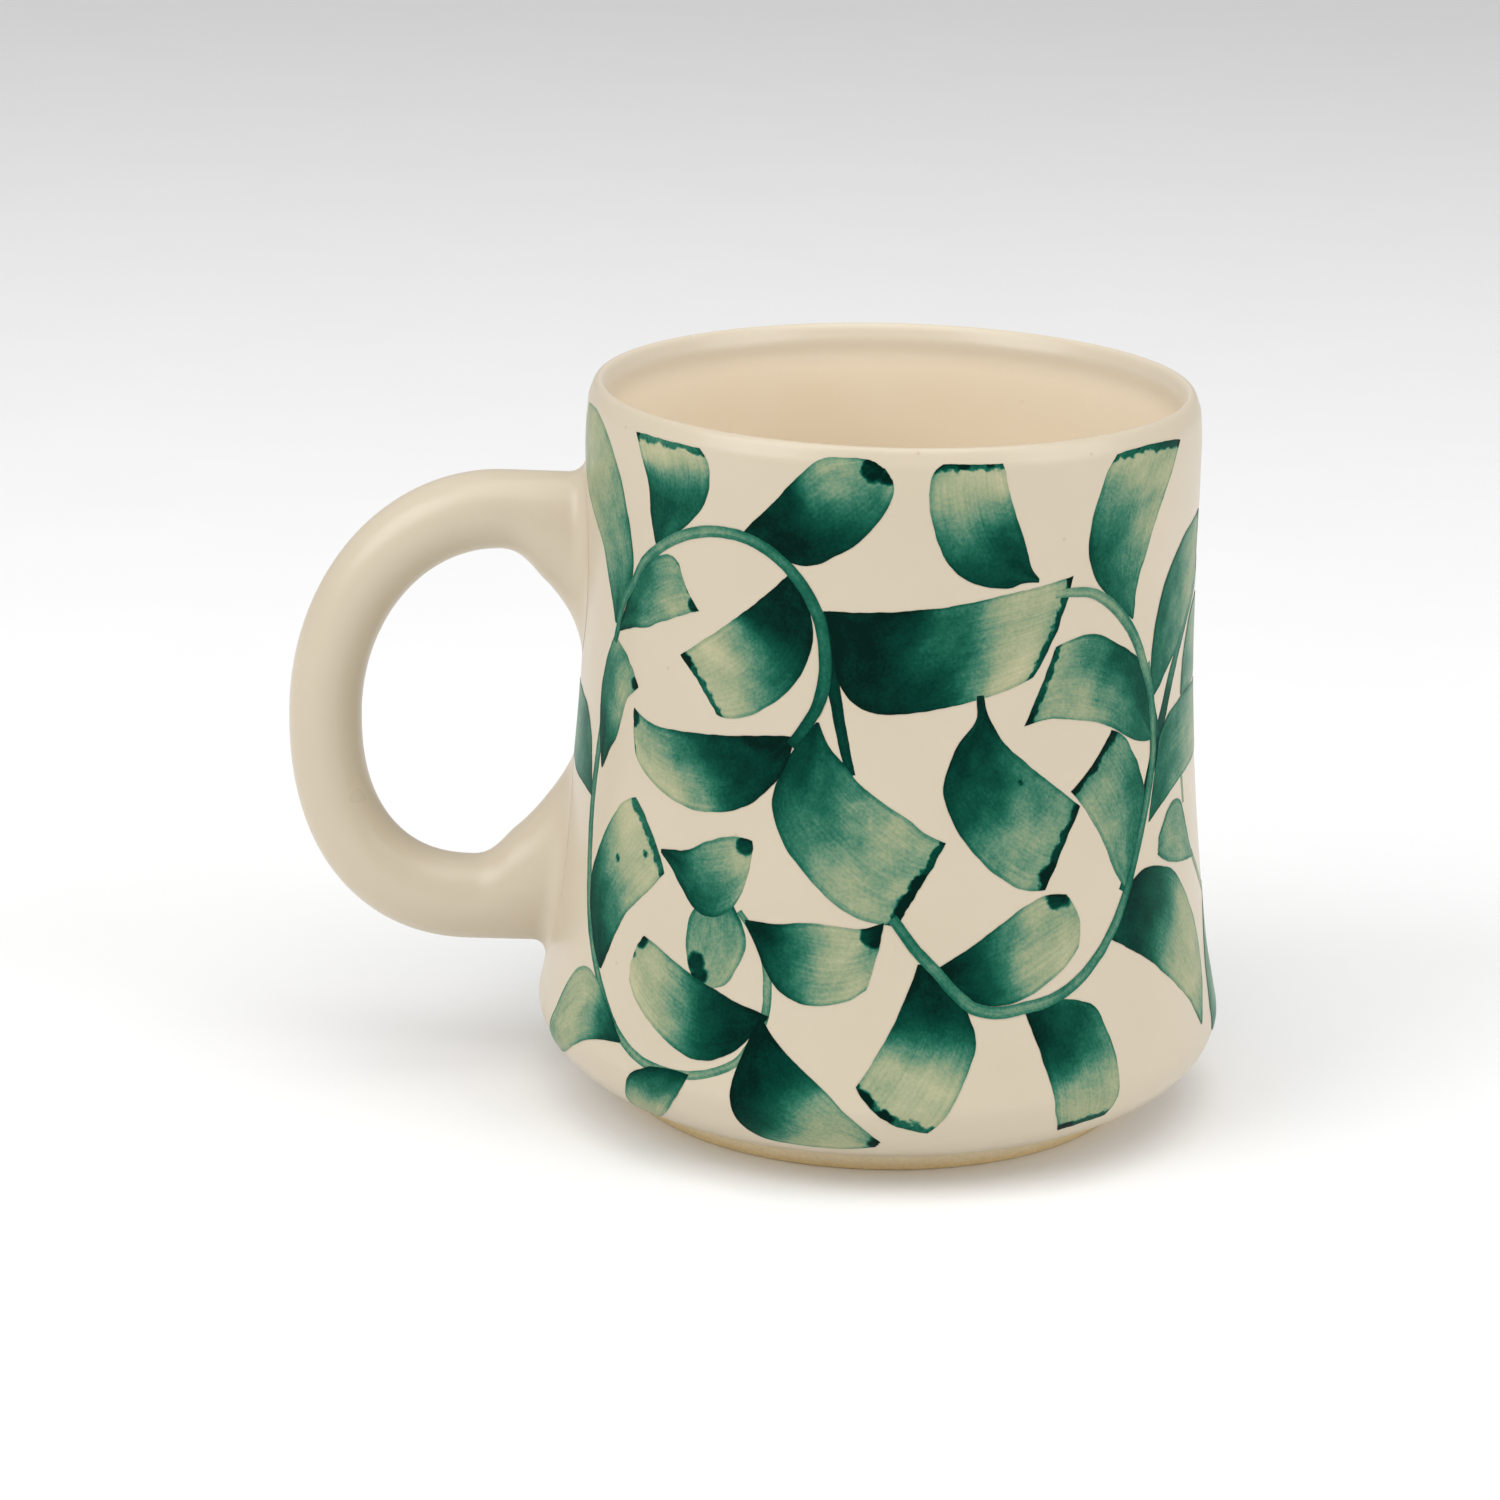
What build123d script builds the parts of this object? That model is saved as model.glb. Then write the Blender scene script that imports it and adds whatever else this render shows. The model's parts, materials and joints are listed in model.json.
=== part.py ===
from build123d import *
import math
import os

# A hand-made stoneware mug: a waisted cup on a turned foot ring, with a round pulled handle.
# Millimetres. +Z is up along the cup's axis, the origin is the centre of the face it stands on,
# and the handle points along -X. Each thing that a potter adds is a solid of its own: the thrown
# cup, the pulled handle, the slip that lutes its two ends to the cup, and the coats of glaze.

# Driving sizes of the fired, glazed mug.
mug_height = 101.0
lip_radius = 42.0
waist_radius = 41.95
hip_radius = 47.85
hip_height = 12.5
glaze = 0.3

# Foot ring: bare turned clay, a little wider at the top, around a shallow glazed recess.
foot_radius = 35.6
foot_top_radius = 37.0
foot_height = 2.9
foot_land = 4.6
foot_recess = 2.0
foot_edge = 0.5
glaze_line_radius = 37.4
base_overlap = 1.0

# Wall and floor.
lip_thickness = 3.4
wall_thickness = 3.9
hip_thickness = 5.0
floor_top = 7.3

# Directions (radius, height) in which the lines of the wall start and end.
rising = (1, 0.3)
inward = (-1, 0)

# Handle: two rounded quarters meet at the grip, and the arms flare where they reach the cup.
grip_x, grip_z = -78.15, 51.5
upper_arm_x, upper_arm_z = -53.5, 81.7
lower_arm_x, lower_arm_z = -57.5, 25.4
grip_half_depth = 5.05
upper_arm_half_depth = 5.45
lower_arm_half_depth = 6.05
handle_half_width = 5.5
upper_squareness = 2.0
lower_squareness = 2.3
quarter_steps = 5
small_turn = 0.01

# Roots: where the arms widen towards the cup, how far out from it and how fast.
root_half_width = 6.8
root_flare = 7.0
upper_root_x = (-37.5, -41.0, -43.5, -46.0, -49.0)
upper_wall_x, upper_flare_reach, upper_flare_power = -41.0, 5.6, 1.2
lower_root_x = (-53.5, -50.0, -47.0, -44.0, -41.0)
lower_wall_x, lower_flare_reach, lower_flare_power = -43.0, 7.5, 1.4

# Slip worked into the corner between handle and cup.
slip_radius = 2.2


def outside_line():
    """Points (radius, height) of the glazed outside, from the glaze line up to the crest of the lip."""
    return [
        (glaze_line_radius, foot_height),
        (41.0, 4.3),
        (44.4, 6.5),
        (46.7, 9.1),
        (hip_radius, hip_height),
        (47.3, 16.0),
        (46.1, 22.0),
        (44.5, 35.0),
        (43.1, 49.0),
        (42.2, 63.0),
        (waist_radius, 77.0),
        (lip_radius, 90.0),
        (lip_radius - 0.15, mug_height - 4.4),
        (lip_radius - 0.55, mug_height - 1.7),
        (lip_radius - lip_thickness / 2, mug_height),
    ]


def inside_line():
    """Points (radius, height) of the glazed inside, from the crest of the lip down to the floor's middle."""
    lip_inside = lip_radius - lip_thickness
    return [
        (lip_radius - lip_thickness / 2, mug_height),
        (lip_inside + 0.45, mug_height - 1.6),
        (lip_inside, mug_height - 4.4),
        (waist_radius - wall_thickness, 87.0),
        (waist_radius - wall_thickness, 72.0),
        (38.9, 55.0),
        (40.4, 37.0),
        (42.4, 21.0),
        (hip_radius - hip_thickness, 15.2),
        (41.4, 10.8),
        (37.2, 8.4),
        (28.0, floor_top + 0.2),
        (14.0, floor_top),
        (0.0, floor_top),
    ]


def moved_in(line, depth, start_run, end_run):
    """A line's points moved a depth to the left of its run, into the clay."""
    runs = [start_run]
    for (r0, z0), (r1, z1) in zip(line, line[2:]):
        runs.append((r1 - r0, z1 - z0))
    runs.append(end_run)
    moved = []
    for (r, z), (dr, dz) in zip(line, runs):
        length = math.hypot(dr, dz)
        moved.append((r - dz / length * depth, z + dr / length * depth))
    return moved


def edge_of(line, depth, start_run, end_run):
    """Smooth curve through a line's points, moved into the clay by a depth."""
    points = [(r, 0, z) for r, z in moved_in(line, depth, start_run, end_run)]
    tangents = [(dr, 0, dz) for dr, dz in (start_run, end_run)]
    return Spline(points, tangents=tangents, tangent_scalars=(1, 1))


def full_turn(edges):
    return revolve(make_face(Curve() + edges), Axis.Z, 360)


def filled(edge):
    """Solid of revolution between a curve and the cup's axis."""
    first, last = edge @ 0, edge @ 1
    ends = [last, Vector(0, 0, last.Z), Vector(0, 0, first.Z), first]
    ends_on_axis = last.X < foot_edge
    if ends_on_axis:
        ends = ends[1:]
    return full_turn([edge, Polyline(ends)])


def coat(line, start_run, end_run):
    """Skin of glaze on one side of the wall."""
    face, back = [edge_of(line, depth, start_run, end_run) for depth in (0, glaze)]
    return full_turn([face, Line(face @ 1, back @ 1), back, Line(back @ 0, face @ 0)])


def outline(depth):
    """Filled outline of the cup, a depth under its glazed outside."""
    return filled(edge_of(outside_line(), depth, rising, inward))


def hollow(depth):
    """Room inside the cup, a depth behind its glazed inside."""
    return filled(edge_of(inside_line(), depth, inward, inward))


def disc(radius, low, high):
    return Pos(0, 0, low) * Cylinder(radius, high - low, align=(Align.CENTER, Align.CENTER, Align.MIN))


def make_cup():
    """Thrown clay: wall and floor, with the foot ring turned from the same clay."""
    ring = loft([Circle(foot_radius), Pos(0, 0, foot_height) * Circle(foot_top_radius)])
    ring += disc(foot_top_radius, foot_height, foot_height + base_overlap)
    ring -= disc(foot_radius - foot_land, 0, foot_recess)
    ring = fillet(ring.edges().filter_by(GeomType.CIRCLE).group_by(Axis.Z)[0], foot_edge)
    return outline(glaze) - hollow(glaze) + ring


def make_bar(depth):
    """Pulled bar of the handle, a depth under its glaze, with both ends run on into the cup."""
    sections = []

    def add(x, z, heading, half_depth, half_width):
        plane = Plane(origin=(x, 0, z), x_dir=(0, 1, 0), z_dir=heading)
        sections.append(plane * Ellipse(half_width - depth, half_depth - depth))

    def add_root(x, wall_x, arm_z, side, half_depth, reach, power):
        """Section near the cup, whose outer edge stays level while the rest of it flares."""
        spread = math.exp(-((max(wall_x - x, 0) / reach) ** power))
        deep = half_depth + root_flare * spread
        wide = handle_half_width + (root_half_width - handle_half_width) * spread
        add(x, arm_z - side * root_flare * spread, (-side, 0, 0), deep, wide)

    def add_quarter(arm_x, arm_z, side, squareness, half_depth, turns):
        def place(turn):
            across, down = math.cos(turn), math.sin(turn)
            reach = math.copysign(abs(across) ** (2 / squareness), across)
            drop = math.copysign(abs(down) ** (2 / squareness), down)
            return Vector(arm_x + (grip_x - arm_x) * reach, 0, grip_z + (arm_z - grip_z) * drop)

        for turn in turns:
            middle = place(turn)
            heading = (place(turn - small_turn) - place(turn + small_turn)) * side
            deep = grip_half_depth + (half_depth - grip_half_depth) * math.sin(turn) ** 2
            add(middle.X, middle.Z, heading, deep, handle_half_width)

    turns = [math.pi / 2 * step / quarter_steps for step in range(quarter_steps + 1)]
    upper, lower = upper_arm_half_depth, lower_arm_half_depth
    for x in upper_root_x:
        add_root(x, upper_wall_x, upper_arm_z, 1, upper, upper_flare_reach, upper_flare_power)
    add_quarter(upper_arm_x, upper_arm_z, 1, upper_squareness, upper, turns[::-1])
    add_quarter(lower_arm_x, lower_arm_z, -1, lower_squareness, lower, turns[1:])
    for x in lower_root_x:
        add_root(x, lower_wall_x, lower_arm_z, -1, lower, lower_flare_reach, lower_flare_power)
    return loft(sections)


def luted(depth):
    """Cup outline and handle as one, with slip rounding the corner between them."""
    whole = outline(depth) + make_bar(depth)
    seams = whole.edges().filter_by(GeomType.BSPLINE).filter_by(lambda edge: edge.length < mug_height / 2)
    return fillet(seams, slip_radius - glaze + depth)


clay_outline = outline(glaze)
clay_bar = make_bar(glaze)
clay_whole = luted(glaze)
joints = (clay_whole - clay_outline - clay_bar).solids().sort_by(Axis.Z)

nodes = {
    "cup_body": make_cup(),
    "handle": clay_bar - clay_outline,
    "upper_handle_joint": joints[-1],
    "lower_handle_joint": joints[0],
    "outside_glaze": coat(outside_line(), rising, inward) - clay_whole,
    "inside_glaze": coat(inside_line(), inward, inward),
    "handle_glaze": luted(0) - clay_whole - outline(0),
    "underside_glaze": disc(foot_radius - foot_land, foot_recess - glaze, foot_recess),
}

os.makedirs("parts", exist_ok=True)
for name, shape in nodes.items():
    export_step(shape, f"parts/{name}.step")
    print(name, len(shape.solids()), round(shape.volume, 1), shape.bounding_box())
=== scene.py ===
import bmesh
import bpy
import json
import math
import random
from functools import partial
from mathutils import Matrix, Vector

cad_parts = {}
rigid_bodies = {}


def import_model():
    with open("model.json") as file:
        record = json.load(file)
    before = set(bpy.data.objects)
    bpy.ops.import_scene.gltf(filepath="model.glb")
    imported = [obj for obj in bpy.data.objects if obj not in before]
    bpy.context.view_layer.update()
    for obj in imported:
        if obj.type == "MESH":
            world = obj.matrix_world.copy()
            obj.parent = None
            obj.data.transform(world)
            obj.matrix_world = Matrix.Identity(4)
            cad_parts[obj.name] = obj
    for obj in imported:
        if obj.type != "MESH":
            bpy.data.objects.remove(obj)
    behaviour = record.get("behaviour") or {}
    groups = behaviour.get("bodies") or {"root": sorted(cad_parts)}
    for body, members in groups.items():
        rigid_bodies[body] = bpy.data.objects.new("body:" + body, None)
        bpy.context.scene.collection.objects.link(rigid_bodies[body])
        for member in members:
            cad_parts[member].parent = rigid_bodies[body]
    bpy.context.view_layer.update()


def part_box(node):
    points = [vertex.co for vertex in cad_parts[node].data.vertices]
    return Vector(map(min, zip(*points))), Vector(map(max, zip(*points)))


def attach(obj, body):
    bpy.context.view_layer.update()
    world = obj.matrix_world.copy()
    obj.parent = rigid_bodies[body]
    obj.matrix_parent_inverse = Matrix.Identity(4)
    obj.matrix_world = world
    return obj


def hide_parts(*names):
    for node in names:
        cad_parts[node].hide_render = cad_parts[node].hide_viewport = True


# A hand-painted stoneware mug. The clay, the two glazes and the handle repeat the lines of the frame's
# own parts, and every leaf and vine is a brush stroke of its own, laid on the wall of the cup.

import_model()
mm = 0.001
times, plus, minus, over = [{"operation": name} for name in ("MULTIPLY", "ADD", "SUBTRACT", "DIVIDE")]
inColour = {"data_type": "RGBA"}


def linear(hexColour):
    # an sRGB hex colour as linear values
    parts = [int(hexColour[i:i + 2], 16) / 255 for i in (1, 3, 5)]
    return [c / 12.92 if c <= 0.04045 else ((c + 0.055) / 1.055) ** 2.4 for c in parts] + [1]


def fillInputs(node, inputs):
    # gives inputs their values or links, in order, or by name or number
    for key, value in inputs.items() if isinstance(inputs, dict) else enumerate(inputs):
        if isinstance(value, bpy.types.Node):
            value = value.outputs[0]
        if isinstance(value, bpy.types.NodeSocket):
            node.id_data.links.new(value, node.inputs[key])
        else:
            node.inputs[key].default_value = value
    return node


def addNode(tree, kind, inputs=(), **settings):
    # kind is a node's type without its first word
    firstWords = ("GeometryNode", "ShaderNode", "FunctionNode", "Node")
    node = tree.nodes.new(next(word + kind for word in firstWords if hasattr(bpy.types, word + kind)))
    for name, value in settings.items():
        setattr(node, name, value)
    return fillInputs(node, inputs)


def newMaterial(name):
    material = bpy.data.materials.new(name)
    material.use_nodes = True
    material.node_tree.nodes.clear()
    add = partial(addNode, material.node_tree)
    shader = add("BsdfPrincipled")
    add("OutputMaterial", [shader])
    return material, shader, add, add("TexCoord").outputs["Object"]


def newTree(name, sockets):
    tree = bpy.data.node_groups.new(name, "GeometryNodeTree")
    tree.interface.new_socket("Geometry", in_out="OUTPUT", socket_type="NodeSocketGeometry")
    tree.interface.new_socket("Geometry", in_out="INPUT", socket_type="NodeSocketGeometry")
    for socketName, kind, value in sockets:
        socket = tree.interface.new_socket(socketName, in_out="INPUT", socket_type="NodeSocket" + kind)
        if value is not None:
            socket.default_value = value
    add = partial(addNode, tree)
    return tree, add, add("GroupInput").outputs


def endTree(add, given, shape, mergeWithin):
    # closes the seams of a finished shape and gives it its material
    closed = add("MergeByDistance", {"Geometry": shape, "Distance": mergeWithin})
    real = add("RealizeInstances", [closed])
    add("GroupOutput", [add("SetMaterial", {"Geometry": real, "Material": given["Material"]})])


def linkObject(name, data):
    thing = bpy.data.objects.new(name, data)
    bpy.context.scene.collection.objects.link(thing)
    return thing


def useTree(thing, tree, **values):
    # the tree's inputs are set by identifier, found from their plain names
    modifier = thing.modifiers.new(tree.name, "NODES")
    modifier.node_group = tree
    for socket in tree.interface.items_tree:
        if socket.in_out == "INPUT" and socket.name in values:
            modifier[socket.identifier] = values[socket.name]


def plainMesh(thing, name, material):
    # turns an object's finished modifiers into a plain mesh, closed and facing outwards
    depsgraph = bpy.context.evaluated_depsgraph_get()
    mesh = bpy.data.meshes.new_from_object(thing.evaluated_get(depsgraph), depsgraph=depsgraph)
    bpy.data.batch_remove([thing, thing.data])
    shape = bmesh.new()
    shape.from_mesh(mesh)
    bmesh.ops.remove_doubles(shape, verts=shape.verts, dist=0.002 * mm)
    return finishPiece(shape, mesh, name, material, 40)


def finishPiece(shape, mesh, name, material, sharpAngle):
    bmesh.ops.recalc_face_normals(shape, faces=shape.faces)
    shape.to_mesh(mesh)
    shape.free()
    mesh.name = name
    mesh.materials.clear()
    mesh.materials.append(material)
    mesh.shade_smooth()
    mesh.set_sharp_from_angle(angle=math.radians(sharpAngle))
    return linkObject(name, mesh)


def rideRoot(piece, slot, *nodes):
    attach(piece, "root")
    if nodes:
        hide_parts(*nodes)


def smoothLine(points, steps, startRun=None, endRun=None):
    # a smooth curve through every point, with the given number of steps from each one to the next
    points = [Vector(p) for p in points]
    gaps = [(b - a).length for a, b in zip(points, points[1:])]
    slopes = [(b - a) / gap for a, b, gap in zip(points, points[1:], gaps)]
    turns = [Vector(startRun).normalized() if startRun else slopes[0]]
    for i in range(1, len(points) - 1):
        turns.append((slopes[i] * gaps[i - 1] + slopes[i - 1] * gaps[i]) / (gaps[i - 1] + gaps[i]))
    turns.append(Vector(endRun).normalized() if endRun else slopes[-1])
    line = []
    for i, gap in enumerate(gaps):
        for k in range(steps):
            t = k / steps
            line.append(points[i] * (1 + 2 * t) * (1 - t) ** 2 + turns[i] * gap * t * (1 - t) ** 2
                        + points[i + 1] * t * t * (3 - 2 * t) - turns[i + 1] * gap * t * t * (1 - t))
    return line + [points[-1]]


def runAlong(line, i):
    # the way a line runs at one of its points
    return (line[min(i + 1, len(line) - 1)] - line[max(i - 1, 0)]).normalized()


def movedIn(line, depth):
    # the same line moved to the left of its run, into the clay
    runs = [runAlong(line, i) for i in range(len(line))]
    return [point + Vector((-run.y, run.x)) * depth for point, run in zip(line, runs)]


glazeLook = {
    # cream is the glaze's own colour; the inside colours are painted light: lip is a paler painted highlight
    # on the lip, and the warmer, lighter inside colour is painted bounce light
    "cream": ("#CFC2AC", "#C6B9A2"), "bounceWarmed": ("#F1E5CF", "#EDDCC2"), "lip": "#D4C8B3", "speck": "#A58B66",
    "creamCloud": 22, "bounceWarmedCloud": 26,    # mm across the faint clouds of colour
    "speckGap": 3.2, "speckShare": 0.07,   # mm from one possible speck to the next, and how many there are
    "bounceFrom": 1.4, "bounceTo": 6.5,      # mm under the lip where the warmer painted colour for bounced light starts and is full
    "waveSize": 7, "waveDepth": 0.05,      # mm
    "skinSize": 1.1, "skinDepth": 0.012,   # mm
    "roughness": (0.25, 0.35), "ior": 1.5, "gloss": 0.5,
}


def finishGlaze(shader, add, place, colour, gloss):
    # fired gloss: the surface waves very slightly, and the sheen varies with the thickness of the coat
    g = glazeLook
    wave = add("TexNoise", {"Vector": place, "Scale": 1 / (g["waveSize"] * mm), "Detail": 1.0})
    skin = add("TexNoise", {"Vector": place, "Scale": 1 / (g["skinSize"] * mm), "Detail": 2.0})
    bump = add("Bump", {"Height": wave, "Strength": 0.5, "Distance": g["waveDepth"] * mm})
    bump = add("Bump", {"Height": skin, "Strength": 0.35, "Distance": g["skinDepth"] * mm, "Normal": bump})
    low, high = g["roughness"]
    fillInputs(shader, {"Base Color": colour, "Normal": bump, "IOR": g["ior"], "Specular IOR Level": gloss,
                        "Roughness": add("MapRange", {"Value": wave, "To Min": low, "To Max": high})})


def clouded(add, place, size, detail, colours):
    # two colours of one glaze that drift into each other
    cloud = add("TexNoise", {"Vector": place, "Scale": 1 / (size * mm), "Detail": detail})
    one, other = [linear(colour) for colour in colours]
    return add("Mix", {"Factor": cloud, 6: one, 7: other}, **inColour).outputs[2]


def makeCreamGlaze():
    # tin-white glaze over buff clay, dipped: a soft even gloss, faintly mottled, with rare iron specks
    g = glazeLook
    material, shader, add, place = newMaterial("cream_glaze_dipped")
    tint = clouded(add, place, g["creamCloud"], 3.0, g["cream"])
    speckle = add("TexVoronoi", {"Vector": place, "Scale": 1 / (g["speckGap"] * mm)}, feature="F1")
    dice = add("SeparateColor", [speckle.outputs["Color"]])
    few = add("Math", [dice, 1 - g["speckShare"]], operation="GREATER_THAN")
    dot = add("MapRange", {"Value": speckle, "From Min": 0.05, "From Max": 0.1, "To Min": 0.35,
                           "To Max": 0.0})
    amount = add("Math", [few, dot], **times)
    colour = add("Mix", {"Factor": amount, 6: tint, 7: linear(g["speck"])}, **inColour).outputs[2]
    finishGlaze(shader, add, place, colour, g["gloss"])
    return material


def makeInsideGlazeWithPaintedBounce(lipTop):
    # the same glaze inside the cup, its colour painted with light: a paler painted highlight at the lip, and
    # below it a warmer, lighter colour that stands for light bounced round the inside
    g = glazeLook
    material, shader, add, place = newMaterial("inside_glaze_painted_bounce")
    height = add("SeparateXYZ", [place]).outputs["Z"]
    # how far below the lip the painted bounce warmth has taken over from the painted lip highlight
    deep = add("MapRange", {"Value": height, "From Min": lipTop - g["bounceFrom"] * mm,
                            "From Max": lipTop - g["bounceTo"] * mm}, interpolation_type="SMOOTHSTEP")
    bounceWarmed = clouded(add, place, g["bounceWarmedCloud"], 2.0, g["bounceWarmed"])
    # painted highlight colour at the lip, turning lower down into the warmer painted colour for bounced light
    colour = add("Mix", {"Factor": deep, 6: linear(g["lip"]), 7: bounceWarmed}, **inColour).outputs[2]
    finishGlaze(shader, add, place, colour, g["gloss"])
    return material


clayLook = {
    # the first colour is painted shadow: the darker clay at the bottom edge, where the mug stands on the
    # floor
    "contactShade": "#EBD09A", "clay": "#F4E3BF", "grog": "#8F744A",
    "grogSize": 0.6, "grogDepth": 0.08, "grogShow": 0.16,   # mm, mm, and how strongly it colours the clay
    "ringSize": 0.5, "ringDepth": 0.12,                     # mm, the marks of the turning tool
    "roughness": 0.82, "ior": 1.5,
}


def makeBareStoneware(bandTop):
    # unglazed turned clay: matt, warm buff with grog in it, and a painted shadow darkening it towards the
    # edge that it stands on
    c = clayLook
    material, shader, add, place = newMaterial("buff_stoneware_turned")
    height = add("SeparateXYZ", [place]).outputs["Z"]
    # painted contact shadow: darker towards the bottom edge, plain clay colour higher up
    contactShadeShare = add("MapRange", {"Value": height, "From Min": 0.2 * mm, "From Max": bandTop * 0.7},
                interpolation_type="SMOOTHSTEP")
    base = add("Mix", {"Factor": contactShadeShare, 6: linear(c["contactShade"]), 7: linear(c["clay"])}, **inColour).outputs[2]
    grog = add("TexNoise", {"Vector": place, "Scale": 1 / (c["grogSize"] * mm), "Detail": 4.0,
                            "Roughness": 0.7})
    grain = add("MapRange", {"Value": grog, "From Min": 0.35, "From Max": 0.65, "To Max": c["grogShow"]})
    around = add("Mapping", {"Vector": place, "Scale": (0.04, 0.04, 1.0)})
    rings = add("TexNoise", {"Vector": around, "Scale": 1 / (c["ringSize"] * mm)})
    bump = add("Bump", {"Height": rings, "Strength": 0.6, "Distance": c["ringDepth"] * mm})
    bump = add("Bump", {"Height": grog, "Strength": 0.5, "Distance": c["grogDepth"] * mm, "Normal": bump})
    colour = add("Mix", {"Factor": grain, 6: base, 7: linear(c["grog"])}, **inColour).outputs[2]
    fillInputs(shader, {"Base Color": colour, "Normal": bump, "Roughness": c["roughness"], "IOR": c["ior"]})
    return material


paint = {
    "tones": [(0.0, "#CBC5A6"), (0.2, "#B0AF8D"), (0.36, "#8F9C7C"), (0.46, "#678A70"), (0.55, "#3B735E"),
              (0.64, "#1C5F4B"), (0.75, "#084737"), (0.87, "#01342A"), (1.0, "#001E17")],
    "hairWidth": 0.4,      # mm from one bristle mark to the next
    "hairStretch": 26.0,   # how many times longer than wide a bristle mark is
    "hairs": 0.055, "patches": 0.07, "grain": 0.04,   # how far each pattern shifts the tone
    "patchSize": 5, "grainSize": 0.45, "raggedSize": 1.3,   # mm
    "endPool": 1.15,       # mm of dark paint left where the brush lifts
    "edgeLine": 0.8,       # mm of slightly darker paint along the two sides
    "wander": 0.45,        # mm that the edges of the dark pools stray
    "edgeDark": 0.15, "endDark": 0.4, "poolDark": 0.5,      # how much darker each of them makes the paint
    "gloss": 0.03,         # thick oxide dulls the glaze over it
}


def makeGreenUnderglaze():
    # green oxide painted with a flat brush under the glaze: thin paint goes sage and shows the bristles,
    # loaded paint goes nearly black, and it pools where the brush lifts
    p = paint
    material, shader, add, place = newMaterial("green_underglaze_brushed")
    tone = add("Attribute", attribute_name="tone").outputs["Fac"]
    brush = add("Attribute", attribute_name="brushMap").outputs["Vector"]
    rims = add("Attribute", attribute_name="rims").outputs["Vector"]
    rim = add("SeparateXYZ", [rims]).outputs   # mm to the end, to the nearest pool and to the nearest side
    marks = add("Mapping", {"Vector": brush, "Scale": (1 / p["hairStretch"], 1, 1)})
    hairs = add("TexNoise", {"Vector": marks, "Scale": 1 / (p["hairWidth"] * mm), "Detail": 3.0,
                             "Roughness": 0.65})
    patches = add("TexNoise", {"Vector": brush, "Scale": 1 / (p["patchSize"] * mm), "Detail": 2.0})
    grain = add("TexNoise", {"Vector": place, "Scale": 1 / (p["grainSize"] * mm), "Detail": 3.0})
    ragged = add("TexNoise", {"Vector": place, "Scale": 1 / (p["raggedSize"] * mm), "Detail": 2.0})

    def added(a, b, share=1.0):
        # a with a share of b added
        return add("Math", [b, share, a], operation="MULTIPLY_ADD")

    def centred(noise, width):
        # noise brought to a range about zero
        return add("MapRange", {"Value": noise, "From Min": 0.3, "From Max": 0.7, "To Min": -width,
                                "To Max": width})

    def near(distance, full, none, amount):
        # an amount where the distance is under full, fading to nothing at none
        return add("MapRange", {"Value": distance, "From Min": full, "From Max": none, "To Min": amount,
                                "To Max": 0.0}, interpolation_type="SMOOTHSTEP")

    # thin paint shows the bristles and a darker edge, a full load hides them
    thin = add("MapRange", {"Value": tone, "From Min": 0.2, "From Max": 0.85, "To Min": 1.0, "To Max": 0.25})
    load = added(tone, centred(hairs, p["hairs"]), thin)
    load = added(load, centred(patches, p["patches"]))
    load = added(load, centred(grain, p["grain"]))
    load = added(load, near(rim["Z"], 0.0, p["edgeLine"] * mm, p["edgeDark"]), thin)
    wander = centred(ragged, p["wander"] * mm)
    full, none = (p["endPool"] - 0.35) * mm, (p["endPool"] + 0.3) * mm
    load = added(load, near(added(rim["X"], wander), full, none, p["endDark"]))
    load = added(load, near(added(rim["Y"], wander, 0.5), -0.35 * mm, 0.3 * mm, p["poolDark"]))
    ramp = add("ValToRGB", [load])
    stops = ramp.color_ramp.elements
    for i, (at, hexColour) in enumerate(p["tones"]):
        stop = stops[i] if i < 2 else stops.new(at)
        stop.position = at
        stop.color = linear(hexColour)
    finishGlaze(shader, add, place, ramp, p["gloss"])
    return material


def makeFloorPaper():
    # a sheet of matt pale paper, only there to stand the mug on
    material, shader, add, place = newMaterial("pale_paper")
    colour = clouded(add, place, 40, 2.0, ("#F7F7F7", "#F4F4F4"))
    fillInputs(shader, {"Base Color": colour, "Roughness": 0.9})
    return material


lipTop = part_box("outside_glaze")[1].z
footLow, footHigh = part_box("underside_glaze")

cup = {
    "glaze": 0.3,          # mm of fired glaze
    "footHeight": 2.9, "footRadius": 35.6, "footTop": 37.0, "footEdge": 0.5, "glazeLine": 37.4,   # mm
    "turnsAround": 240,
    "steps": 8,            # steps from one point of a line to the next
    "wobble": 0.16,        # mm that a hand-thrown wall strays from round
    "wobbleScale": 0.9, "wobbleRise": 12.0,   # how quickly it changes round the cup and up it
    "calmMiddle": 20,      # mm from the axis within which it fades to nothing
    "seed": 7,
}
# outside and inside lines of the wall, radius and height in mm, from the glaze line up and from the lip down
outsideLine = [(cup["glazeLine"], cup["footHeight"]), (41.0, 4.3), (44.4, 6.5), (46.7, 9.1), (47.85, 12.5),
               (47.3, 16), (46.1, 22), (44.5, 35), (43.1, 49), (42.2, 63), (41.95, 77), (42, 90),
               (41.85, 96.6), (41.45, 99.3), (40.3, 101)]
insideLine = [(40.3, 101), (39.05, 99.4), (38.6, 96.6), (38.05, 87), (38.05, 72), (38.9, 55), (40.4, 37),
              (42.4, 21), (42.85, 15.2), (41.4, 10.8), (37.2, 8.4), (28, 7.5), (14, 7.3), (0, 7.3)]
outsideWall = smoothLine(outsideLine, cup["steps"], (1, 0.3), (-1, 0))
insideWall = smoothLine(insideLine, cup["steps"], (-1, 0), (-1, 0))


def wallRadius(height):
    # radius of the glazed outside at a height, both in mm
    for a, b in zip(outsideWall, outsideWall[1:]):
        if a.y <= height <= b.y:
            return a.x + (b.x - a.x) * (height - a.y) / (b.y - a.y)
    return outsideWall[0].x if height < outsideWall[0].y else outsideWall[-1].x


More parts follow.
